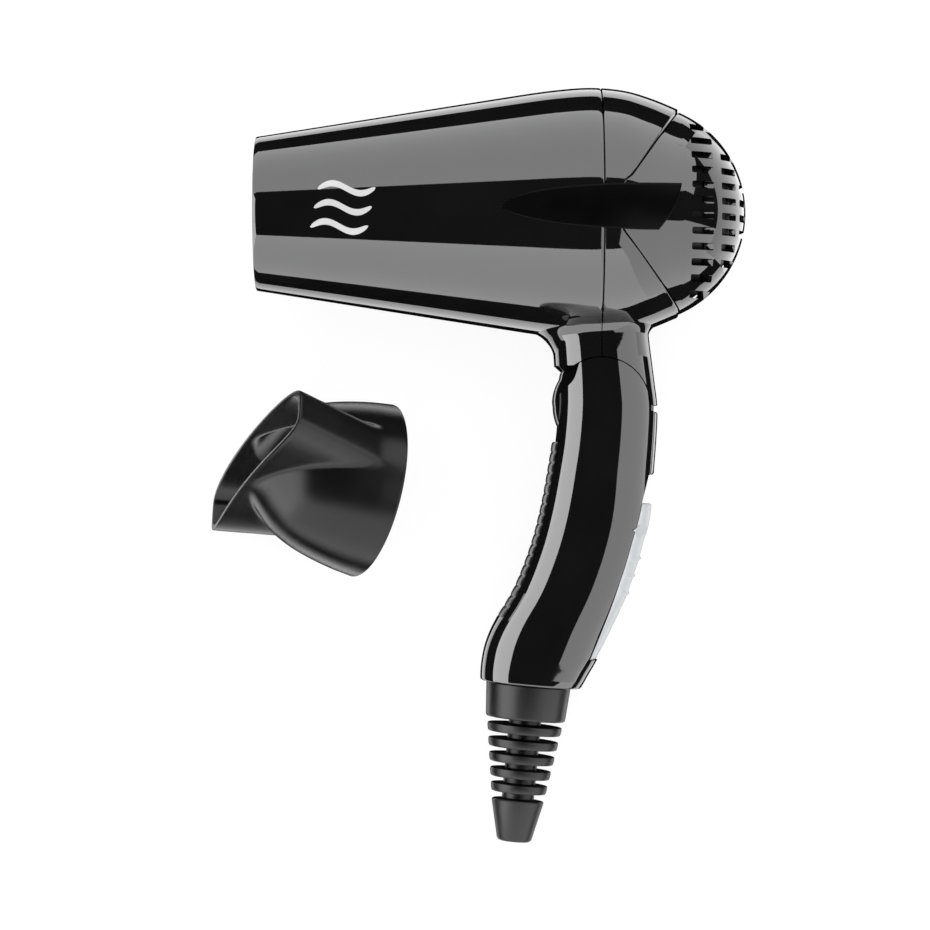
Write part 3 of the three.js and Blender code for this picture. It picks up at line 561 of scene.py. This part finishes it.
def slot_cutters():
    """One bar for every slot, along the barrel's axis."""
    parts = []
    for row in range(SLOT_ROWS):
        y = (row - (SLOT_ROWS - 1) / 2) * SLOT_PITCH
        for inner, outer in SLOT_RINGS:
            for outline in slot_outline(y, inner, outer):
                edge = rounded(outline)
                rings = [[(x, py, pz) for py, pz in edge] for x in (FLAT_END_X, CUTTER_END_X)]
                parts.append(loft(rings))
    return join(*parts)


def grille_skin():
    """The grille's wall before its slots are cut."""
    start = rear_edge() + GAP / 2
    rings = []
    for along, drop in [(0.0, WALL), (0.0, EDGE_ROUND), (0.1, 0.1), (EDGE_ROUND, 0.0)]:
        rings.append((start + along, cap_radius(start + along) - drop))
    for t in np.linspace(0, 1, 26)[1:]:
        x = start + EDGE_ROUND + (FLAT_END_X - start - EDGE_ROUND) * t
        rings.append((x, cap_radius(x)))
    last = math.acos((DOME_END_X - DOME_X) / DOME_R)
    first = math.acos((FLAT_END_X - DOME_X) / DOME_R)
    turns = np.linspace(first, last, 34)[1:]
    rings += [(DOME_X + DOME_R * math.cos(a), DOME_R * math.sin(a)) for a in turns]
    rings.append((DOME_END_X, 0.01))
    rings.append((DOME_END_X - WALL, 0.01))
    inner = DOME_R - WALL
    last = math.acos((DOME_END_X - WALL - DOME_X) / inner)
    first = math.acos((FLAT_END_X - DOME_X) / inner)
    turns = np.linspace(last, first, 20)
    rings += [(DOME_X + inner * math.cos(a), inner * math.sin(a)) for a in turns]
    for t in np.linspace(0, 1, 8)[1:-1]:
        x = FLAT_END_X + (start - FLAT_END_X) * t
        rings.append((x, cap_radius(x) - WALL))
    rings = [ring_points(x, r) for x, r in rings]
    return loft([*rings, rings[0]], caps=False)


def cut(piece, cutter):
    """Cuts one mesh out of another and takes the cutter away."""
    boolean = piece.modifiers.new("cut", "BOOLEAN")
    boolean.operation = "DIFFERENCE"
    boolean.solver = "EXACT"
    boolean.object = cutter
    graph = bpy.context.evaluated_depsgraph_get()
    result = bpy.data.meshes.new_from_object(piece.evaluated_get(graph))
    piece.modifiers.clear()
    piece.data = result
    bpy.data.objects.remove(cutter)


def keep_skin_normals(piece):
    """Gives the grille's outside its true normals, so that the cut slots leave no shading marks."""
    data = piece.data
    inverse = DESIGN.inverted()
    places = np.array([inverse @ vertex.co for vertex in data.vertices])
    x, y, z = places.T
    radius = np.hypot(y, z)
    step = 0.05
    slope = (cap_radius(x + step) - cap_radius(x - step)) / (2 * step)
    on_ball = x > REAR_EDGE_X + step
    along = np.where(on_ball, x - DOME_X, -slope * radius)
    outward = np.column_stack([along, y, z])
    outward /= np.linalg.norm(outward, axis=1)[:, None]
    on_skin = np.abs(radius - cap_radius(x)) < 0.03
    outward = outward @ np.array([AXIS_X, AXIS_Y, AXIS_Z])
    normals = [tuple(corner.vector) for corner in data.corner_normals]
    for polygon in data.polygons:
        face = np.array(polygon.normal)
        for corner in polygon.loop_indices:
            vertex = data.loops[corner].vertex_index
            if on_skin[vertex] and face @ outward[vertex] > 0.97:
                normals[corner] = tuple(outward[vertex])
    data.normals_split_custom_set(normals)


def slot_shade_screen():
    """A dark sheet just inside the grille, so that nothing is seen through the slots: painted shade
    inside them, not a part of the dryer.
    """
    turns = np.linspace(0.02, 1.15, 24)
    skins = []
    for radius in (SCREEN_R, SCREEN_R - 0.4):
        skins.append([(DOME_X + radius * math.cos(a), radius * math.sin(a)) for a in turns])
    points, faces = revolve(skins[0] + skins[1][::-1], 96)
    make("slot_shade_screen", points, faces, DARK_PLASTIC, "head")


def grille():
    """The slotted cap over the intake."""
    piece = make("intake_grille_shell", *grille_skin(), GLOSS_BLACK, "head", ["intake_grille"])
    cutter = make("slot_cutter", *slot_cutters(), GLOSS_BLACK, None)
    cut(piece, cutter)
    piece.data.set_sharp_from_angle(angle=math.radians(CREASE))
    keep_skin_normals(piece)
    # a dark sheet behind the slots stands in for the shade inside them: painted shade
    slot_shade_screen()


# ------------------------------------------------------------------ side trims and mark

TRIM_TOP = smooth_chain([
    (-33.6, -0.4), (-31.4, 1.4), (-28.6, 2.9), (-21.2, 4.8), (-11.5, 6.1), (0.4, 6.9), (12, 7.3),
    (25.2, 7.6),
])
TRIM_BOTTOM = smooth_chain([
    (-33.6, -0.4), (-31.5, -1.7), (-27.6, -3.2), (-17.4, -5.6), (-5.7, -7.0), (8.8, -7.8),
    (17.6, -7.8),
])


TRIM_POINT_X = -33.6
TRIM_TOP_LENGTH = 58.8
TRIM_BOTTOM_LENGTH = 51.2
TRIM_BULGE = 5.6             # of its raked back edge
TRIM_LIFT, TRIM_SINK = 0.12, -0.06


def trim(name, side):
    """A thin leaf set into the barrel's side, pointed in front, with its back edge raked."""
    along = np.concatenate([[0, 0.004], np.linspace(0.012, 0.99, 70), [0.996, 1.0]])
    across = np.concatenate([[0, 0.02], np.linspace(0.05, 0.95, 20), [0.98, 1.0]])
    rows = []
    for i, s in enumerate(along):
        top_x = TRIM_POINT_X + TRIM_TOP_LENGTH * s
        bottom_x = TRIM_POINT_X + TRIM_BOTTOM_LENGTH * s
        top, bottom = TRIM_TOP(top_x), TRIM_BOTTOM(bottom_x)
        row = []
        for j, t in enumerate(across):
            x = top_x + (bottom_x - top_x) * t + TRIM_BULGE * t * (1 - t) * s ** 3
            y = top + (bottom - top) * t
            rim = i in (0, len(along) - 1) or j in (0, len(across) - 1)
            row.append((x, y, side * barrel_at(x, y, TRIM_SINK if rim else TRIM_LIFT)))
        rows.append(row)
    make(name + "_leaf", np.vstack(rows), grid_faces(len(rows), len(across)), INLAY_BLACK, "head",
         [name], crease=60)


def airflow_mark():
    """A plain printed mark of three waves, one below another, on the barrel's left side."""
    start, length, pitch, slant = -93.0, 19.0, 6.2, 1.2
    wave_height, half_width = 1.7, 1.05
    parts = []
    for line in range(3):
        middle = pitch * (1 - line)
        rows = []
        for t in np.linspace(0, 1, 41):
            x = start + length * t - slant * line
            y = middle + wave_height * math.sin(2 * math.pi * t)
            half = half_width * math.sqrt(max(1 - (2 * t - 1) ** 6, 0.002))
            rows.append([(x, y + w, float(barrel_at(x, y + w, 0.04))) for w in (-half, 0, half)])
        parts.append((np.vstack(rows), grid_faces(len(rows), 3)))
    make("airflow_mark", *join(*parts), MARK_GREY, "head")


# ------------------------------------------------------------------ handle

STRIP_TOP, STRIP_BOTTOM = -76.0, -134.0
STRIP_HALF = 9.5             # half of the ribbed strip's width
STRIP_DEPTH = 2.4
STRIP_RIBS = 17
RECESS_TOP, TRACK_BOTTOM = -87.0, -147.35    # the switch cover's recess
CAVITY_BOTTOM = -80.8        # the hinge's hollow between the ears
SHOULDER_Y = -65.9           # the spine pad ends here, under the neck
FACE_INNER_Z = 0.1           # the shells meet at Z = 0, with a fine seam
SHELL_COLUMNS = 96
HOME_COLUMNS = 10

ear_front = smooth_chain([(-66, -14.2), (-60.5, -13.9), (-58.2, -11.6), (-55.5, -9.2), (-50.1, -7.4)])


def shell_span(y):
    """Front and back X of a shell's side face at one level."""
    up = y - PIVOT_Y
    arc = math.sqrt(max(EAR_R ** 2 - up ** 2, 0.0)) if up > 0 else EAR_R
    if y > -50.1:
        front = -arc
    elif y > -66:
        front = max(float(ear_front(y)), section_x(y, EAR_INNER_Z, -1))
    elif y > STRIP_TOP:
        front = section_x(y, EAR_INNER_Z, -1)
    elif y > STRIP_BOTTOM:
        front = section_x(y, STRIP_HALF + 0.15, -1)
    else:
        front = section_x(y, FACE_INNER_Z, -1)
    if y > SHOULDER_Y:
        back = min(arc, section_x(y, EAR_INNER_Z, 1))
    elif y > RECESS_TOP:
        back = section_x(y, EAR_INNER_Z, 1)
    elif y > TRACK_BOTTOM:
        back = float(track_back(y))
    else:
        back = section_x(y, FACE_INNER_Z, 1)
    return front, back


def shell_ring(y, inset=0.0):
    """One level of a shell: over its side face from front to back, and home along its inside.

    The columns stand at fixed shares of the whole section, and stop at the face's own edges, so that
    they run straight past a place where the face gets narrower.
    """
    front, back = shell_span(y)
    inner = EAR_INNER_Z if y > CAVITY_BOTTOM else FACE_INNER_Z
    section_middle = (grip_front(y) + grip_back(y)) / 2
    section_half = (grip_back(y) - grip_front(y)) / 2
    share = -np.cos(np.linspace(0, math.pi, SHELL_COLUMNS))
    x = np.clip(section_middle + share * section_half, front, back)
    z = np.maximum(section_z(x, y), inner)
    on_strip = STRIP_BOTTOM < y <= STRIP_TOP
    home = np.linspace(back, front + (STRIP_DEPTH if on_strip else 0.0), HOME_COLUMNS)
    ring_x = np.concatenate([x, home])
    ring_z = np.concatenate([z, np.full(HOME_COLUMNS, inner)])
    middle = (front + back) / 2
    shrink = 1 - inset / section_half
    ring_x = middle + (ring_x - middle) * shrink
    ring_z = np.where(ring_z > inner, inner + (ring_z - inner) * shrink, ring_z)
    return ring_x, ring_z


def end_plane(x):
    """Level of the handle's end, which is square to the strain relief."""
    return BOOT_Y - math.tan(BOOT_LEAN) * (x - BOOT_X)


def shell_levels():
    """Levels of the handle shell's rings from the top of its ear down, closer at each step in it."""
    levels = [PIVOT_Y + EAR_R * math.sin(t) for t in np.linspace(math.radians(87), 0.05, 30)]
    levels += [-64.4, -65.2, SHOULDER_Y + 0.01, SHOULDER_Y - 0.01]
    stops = [SHOULDER_Y, STRIP_TOP, CAVITY_BOTTOM, RECESS_TOP, STRIP_BOTTOM, TRACK_BOTTOM, -154.0]
    for start, end in zip(stops, stops[1:]):
        steps = max(2, round((start - end) / 1.5))
        levels += list(np.linspace(start, end, steps + 1)[1:-1])
        levels += [end + 0.01, end - 0.01]
    return levels


def handle_shell(name, side):
    """Half of the handle. Its rings lean more and more towards its end, which is rounded over."""
    lean_start, lean_length = -140.0, 14.0
    rings = []
    for y in shell_levels():
        x, z = shell_ring(y)
        lean = np.clip((lean_start - y) / lean_length, 0, 1)
        rings.append(np.column_stack([x, y + lean * (end_plane(x) - BOOT_Y), side * z]))
    for above, inset in [(0.7, 0.0), (0.35, 0.06), (0.16, 0.2), (0.05, 0.42), (0.0, 0.7)]:
        x, z = shell_ring(BOOT_Y + above, inset)
        rings.append(np.column_stack([x, end_plane(x) + above, side * z]))
    return make(name + "_skin", *loft(rings), GLOSS_BLACK, "handle", [name], crease=28)


def screw_holes():
    """Cutters for the three screws' holes in the right shell."""
    outside, bottom, radius = -30.0, -11.0, 3.1
    parts = []
    for x, y in [(-7, -90), (-19, -122.5), (-29, -137)]:
        profile = [(outside, 0.01), (outside, radius), (bottom, radius), (bottom, 0.01)]
        points, faces = revolve(profile, 40)
        parts.append((around_z(points, (x, y)), faces))
    return make("hole_cutter", *join(*parts), GLOSS_BLACK, None)


def grip_strip():
    """Ribbed strip down the handle's front: a row of low pillows."""
    steps, rib_height, sink = 12, 0.32, 0.25
    rows = []
    levels = np.linspace(STRIP_TOP - 0.05, STRIP_BOTTOM + 0.05, STRIP_RIBS * steps + 1)
    across = np.linspace(-1, 1, 25)
    for i, y in enumerate(levels):
        pillow = (i % steps) / (steps / 2) - 1
        swell = rib_height * (1 - abs(pillow) ** 3.5)
        row = []
        for t in across:
            z = STRIP_HALF * t
            lift = swell * (1 - abs(t) ** 8) - sink
            row.append((section_x(y, z, -1) - lift, y, z))
        back = [section_x(y, STRIP_HALF * t, -1) + STRIP_DEPTH for t in (1, -1)]
        row += [(back[0], y, STRIP_HALF), (back[1], y, -STRIP_HALF)]
        rows.append(row)
    make("front_grip_strip_ribbed", *loft(rows), RIB_BLACK, "handle", ["front_grip_strip"], crease=40)


def spine_pad():
    """The handle's back between the ears, behind the hinge."""
    half, inner_x = EAR_INNER_Z - 0.2, 16.5
    levels = [SHOULDER_Y - 0.25, SHOULDER_Y - 0.7, *np.linspace(-67.5, -86.4, 14), -86.9]
    rows = []
    for y in levels:
        lift = -0.35 if y in (levels[0], levels[-1]) else 0.1
        row = [(section_x(y, z, 1) + lift, y, z) for z in np.linspace(-half, half, 17)]
        row += [(inner_x, y, half), (inner_x, y, -half)]
        rows.append(row)
    make("handle_spine_pad", *loft(rows), GLOSS_BLACK, "handle", crease=40)


# ------------------------------------------------------------------ switch

SLIDER_TOP, SLIDER_BOTTOM = -96.5, -148.2
RIDGES = [-114.8, -120.6, -126.4]


def slider_ring(y, inset=0.0):
    """One level of the switch cover: its back from side to side, and home along its inside.

    The inside stands off the track, more at the lower end, so that the cover slides straight up.
    """
    inner = float(track_back(y)) + float(np.interp(y, [-147.0, -122.0], [0.92, 0.2]))
    chamfer = float(np.interp(y, [-127.0, -120.0, -108.5, -104.5], [0.0, 0.3, 0.45, 0.0]))
    ridge = sum(0.75 * math.exp(-((y - level) / 0.45) ** 2) for level in RIDGES)
    edge = float(section_z(inner, y))
    z = edge * np.cos(np.linspace(0, math.pi, 33))
    x = np.array([section_x(y, v, 1) for v in z])
    thick = np.clip((x - inner) / 3.0, 0, 1)
    x = x + thick * (ridge - chamfer - inset)
    inner_x = np.full(9, inner)
    inner_z = np.linspace(-edge, edge, 11)[1:-1]
    scale = 1 - inset / max(edge, 1)
    return np.concatenate([x, inner_x]), np.concatenate([z, inner_z]) * scale


def slider():
    """The grey slide cover down the handle's back, with a pointer on each side and three ridges."""
    levels = [(SLIDER_TOP, 0.7), (SLIDER_TOP - 0.12, 0.3), (SLIDER_TOP - 0.5, 0.0)]
    levels += [(y, 0.0) for y in np.linspace(SLIDER_TOP - 1.2, SLIDER_BOTTOM + 1.2, 110)]
    levels += [(SLIDER_BOTTOM + 0.4, 0.0), (SLIDER_BOTTOM + 0.1, 0.15), (SLIDER_BOTTOM, 0.4)]
    rings = []
    for y, inset in levels:
        x, z = slider_ring(y, inset)
        rings.append(np.column_stack([x, np.full(len(x), y), z]))
    parts = [loft(rings)]
    for side in (1, -1):
        outline = [(10.4, -105.3), (12.6, -103.6), (15.2, -103.9), (15.2, -106.7), (12.6, -107.0)]
        low = [(x, y, side * (float(section_z(x, y)) + 0.02)) for x, y in outline]
        high = [(x, y, side * (float(section_z(x, y)) + 0.4)) for x, y in outline]
        parts.append(loft([low, high]))
    make("switch_slider_cover", *join(*parts), COOL_GREY, "switch", ["switch_slider"], crease=30)


# ------------------------------------------------------------------ strain relief

def boot():
    """Collar, five soft ribs on a core, and a plain end, turned about the cord's axis."""
    bore, core = 3.6, 5.4
    profile = [(-3.0, bore), (-3.0, 8.2), (0.3, 8.2), (0.3, 13.8), (0.6, 14.1)]
    profile += [(11.0, 13.3), (11.5, 13.15), (11.8, 12.8), (11.9, core + 0.5), (12.3, core)]
    for rib in range(5):
        middle = 15.2 + 4.95 * rib
        radius = 12.35 - 0.75 * rib
        profile.append((middle - 1.75, core))
        profile.append((middle - 1.35, core + 0.5))
        for t in np.linspace(0, math.pi, 9):
            along = -1.4 * math.cos(t)
            soft = 0.45 * math.sin(t) ** 0.6
            profile.append((middle + along, radius - 0.45 + soft - 0.15 * along))
        profile.append((middle + 1.35, core + 0.5))
        profile.append((middle + 1.75, core))
    profile += [(38.3, core), (38.8, core + 0.6), (38.9, 8.4), (39.3, 8.7), (51.9, 5.8), (52.5, 5.3)]
    profile += [(BOOT_LENGTH, 4.9), (BOOT_LENGTH, bore)]
    points, faces = revolve(profile, 96)
    along, across, depth = np.asarray(points).T
    sine, cosine = math.sin(BOOT_LEAN), math.cos(BOOT_LEAN)
    x = BOOT_X - along * sine + across * cosine
    y = BOOT_Y - along * cosine - across * sine
    make("strain_relief_boot_ribbed", np.column_stack([x, y, depth]), faces, BOOT_RUBBER, "handle",
         ["strain_relief_boot"], crease=40)


# ------------------------------------------------------------------ nozzle

NOZZLE = {
    "length": 42.0, "half_long": 39.5, "half_short": 9.2, "wall": 1.8, "bow": 3.0,
    "axis": (-0.908, 0.226, 0.352), "long_way": (0.418, 0.46, 0.784),
}
nozzle_cone = smooth_chain([
    (0, 29.5), (8, 28.4), (17, 26.4), (24, 24.0), (30, 20.6), (35, 15.5), (39, 10.0), (42, 6.0),
])


def nozzle_radius(x, angle, inset):
    """Distance from the nozzle's axis to its skin: a round cone and a flat spout, melted together."""
    cone = nozzle_cone(x) - inset
    t = np.clip(x / NOZZLE["length"], 0, 1)
    half_long = 25.5 + (NOZZLE["half_long"] - 25.5) * t - inset
    half_short = NOZZLE["half_short"] - inset
    power = 5.0
    spout = (
        np.abs(np.cos(angle) / half_long) ** power + np.abs(np.sin(angle) / half_short) ** power
    ) ** (-1 / power)
    sharp = 1.1
    return np.maximum(cone, spout) + np.log1p(np.exp(-sharp * np.abs(cone - spout))) / sharp


def nozzle():
    """The loose nozzle, laid where the CAD's nozzle lies, with its round rim in the same place."""
    count = 220
    wall, length = NOZZLE["wall"], NOZZLE["length"]
    angle = np.linspace(0, 2 * math.pi, count, endpoint=False)
    plan = [(0.0, 0.9), (0.0, 0.35), (0.12, 0.1), (0.4, 0.0)]
    plan += [(x, 0.0) for x in np.linspace(1.0, length - 0.5, 70)]
    plan += [(length - 0.1, 0.12), (length, 0.4), (length, wall - 0.4), (length - 0.12, wall - 0.1)]
    plan += [(x, wall) for x in np.linspace(length - 0.6, 0.6, 50)]
    plan += [(0.1, wall - 0.1), (0.0, wall - 0.35)]
    rings = []
    for x, inset in plan:
        radius = nozzle_radius(x, angle, inset)
        along = radius * np.cos(angle)
        bow = NOZZLE["bow"] * (x / length) ** 3 * np.clip(1 - (along / NOZZLE["half_long"]) ** 2, 0, 1)
        rings.append(np.column_stack([x + bow, along, radius * np.sin(angle)]))
    points, faces = loft([*rings, rings[0]], caps=False)

    axis = Vector(NOZZLE["axis"]).normalized()
    across = axis.cross(Vector(NOZZLE["long_way"])).normalized()
    long_way = across.cross(axis)
    turn = np.array([axis, long_way, across])
    points = np.asarray(points) @ turn
    piece = make("concentrator_nozzle_shell", points, faces, SATIN_BLACK, "nozzle",
                 ["concentrator_nozzle"], crease=40)
    piece.visible_glossy = False
    outward = (DESIGN.to_3x3() @ axis).normalized()
    rim = [v.co for v in frame["nodes"]["concentrator_nozzle"].data.vertices]
    level = min(point.dot(outward) for point in rim)
    rim = [point for point in rim if point.dot(outward) < level + 0.0005]
    shift = sum(rim, Vector()) / len(rim) - DESIGN.translation
    lowest = min(v.co.z for v in piece.data.vertices) + shift.z
    shift.z -= min(lowest, 0.0)
    piece.data.transform(Matrix.Translation(shift))


# ------------------------------------------------------------------ studio

def emission(name, strength):
    """A white light."""
    material = bpy.data.materials.new(name)
    material.use_nodes = True
    nodes, links = material.node_tree.nodes, material.node_tree.links
    nodes.clear()
    glow = nodes.new("ShaderNodeEmission")
    glow.inputs["Color"].default_value = (1, 1, 1, 1)
    glow.inputs["Strength"].default_value = strength
    output = nodes.new("ShaderNodeOutputMaterial")
    links.new(glow.outputs["Emission"], output.inputs["Surface"])
    return material


def panel(name, start, end, strengths):
    """A softbox that only gives reflections: strips from one edge to another, each edge two points."""
    a, b = [Vector(p) for p in start]
    c, d = [Vector(p) for p in end]
    steps = len(strengths)
    for i, strength in enumerate(strengths):
        near, far = i / steps, (i + 1) / steps
        quad = [a.lerp(c, near), b.lerp(d, near), b.lerp(d, far), a.lerp(c, far)]
        material = emission(f"{name}_light_{i}", strength)
        piece = make(f"{name}_{i}", [tuple(p) for p in quad], [(0, 1, 2, 3)], material, None)
        piece.visible_camera = False
        piece.visible_diffuse = False
        piece.visible_shadow = False
        piece.visible_transmission = False


def softboxes():
    """Boxes round the dryer and close by its handle's back and its intake, and a pale ring far below.

    The ring gives the dryer's outline its thin light edge. It's a frame of four panels.
    """
    reach, first, near, far = 600.0, -1500.0, 1085.0, -120.0
    panel("top_box", [(first, reach, near), (1960, reach, near)],
          [(first, reach, far), (440, reach, far)], np.linspace(4.7, 4.3, 12))
    near, last, end = 830.0, 480.0, 1500.0
    fade = np.linspace(5.9, 4.6, 24)
    panel("low_box", [(first, -reach, near), (last, -reach, near)],
          [(first, -reach, far), (last, -reach, far)], fade)
    panel("low_box_end", [(last, -reach, near), (end, -reach, near)],
          [(last, -reach, far), (end, -reach, -400)], fade)
    low, high, near, far = -reach, 300.0, 820.0, 40.0
    panel("front_box", [(-reach, low, near), (-reach, high, near)],
          [(-reach, low, far), (-reach, high, far)], [9.7])
    x, low, high, near, far = 120.0, -228.0, -22.0, 380.0, -11.0
    panel("back_box", [(x, low, near), (x, high, near)], [(x, low, far), (x, high, far)], [4.2])
    x, low, high, near, far = 78.0, -38.0, 90.0, 24.0, -60.0
    panel("intake_box", [(x, low, near), (x, high, near)], [(x, low, far), (x, high, far)], [3.0])
    depth, hole, rim = -2000.0, 1000.0, 2300.0
    for side in (-1, 1):
        inner, outer = side * hole, side * rim
        panel(f"ring_x_{side + 1}", [(inner, -rim, depth), (inner, rim, depth)],
              [(outer, -rim, depth), (outer, rim, depth)], [2.2])
        panel(f"ring_y_{side + 1}", [(-hole, inner, depth), (hole, inner, depth)],
              [(-hole, outer, depth), (hole, outer, depth)], [2.2])


def studio():
    """A pale floor and a white world, which reflections don't see: they show the softboxes alone."""
    half = 6.0
    scene = bpy.context.scene
    scene.view_settings.view_transform = "Standard"
    world = bpy.data.worlds.new("studio")
    world.use_nodes = True
    scene.world = world
    nodes, links = world.node_tree.nodes, world.node_tree.links
    rays = nodes.new("ShaderNodeLightPath")
    level = nodes.new("ShaderNodeMapRange")
    level.inputs["To Min"].default_value = 1.05
    level.inputs["To Max"].default_value = 0.0
    links.new(rays.outputs["Is Glossy Ray"], level.inputs["Value"])
    background = nodes["Background"]
    background.inputs["Color"].default_value = (1, 1, 1, 1)
    links.new(level.outputs["Result"], background.inputs["Strength"])

    softboxes()

    floor_material, _nodes, _links, shader = new_material("pale_floor")
    shader.inputs["Base Color"].default_value = (0.2, 0.2, 0.2, 1)
    shader.inputs["Roughness"].default_value = 0.9
    shader.inputs["Specular IOR Level"].default_value = 0.0
    shader.inputs["Emission Color"].default_value = (1, 1, 1, 1)
    shader.inputs["Emission Strength"].default_value = 0.88
    corners = [(-half, -half, 0), (half, -half, 0), (half, half, 0), (-half, half, 0)]
    data = bpy.data.meshes.new("floor")
    data.from_pydata(corners, [], [(0, 1, 2, 3)])
    data.materials.append(floor_material)
    floor = bpy.data.objects.new("floor", data)
    scene.collection.objects.link(floor)
    floor.visible_glossy = False


EYE = (-45.0, -83.7, 1150.0)


def camera():
    """The photograph's view: straight at the dryer's left side."""
    data = bpy.data.cameras.new("camera")
    data.sensor_width = 36.0
    data.lens = 133.5
    data.clip_end = 20.0
    eye = bpy.data.objects.new("camera", data)
    bpy.context.scene.collection.objects.link(eye)
    turn = Matrix((AXIS_X, AXIS_Y, AXIS_Z)).transposed().to_4x4()
    eye.matrix_world = Matrix.Translation(DESIGN @ Vector(EYE)) @ turn
    bpy.context.scene.camera = eye


# ------------------------------------------------------------------ assembly

camera()
studio()
dress_cad_nodes()
head()
grille()
trim("side_trim_left", 1)
trim("side_trim_right", -1)
airflow_mark()
handle_shell("handle_shell_left", 1)
cut(handle_shell("handle_shell_right", -1), screw_holes())
grip_strip()
spine_pad()
slider()
boot()
nozzle()
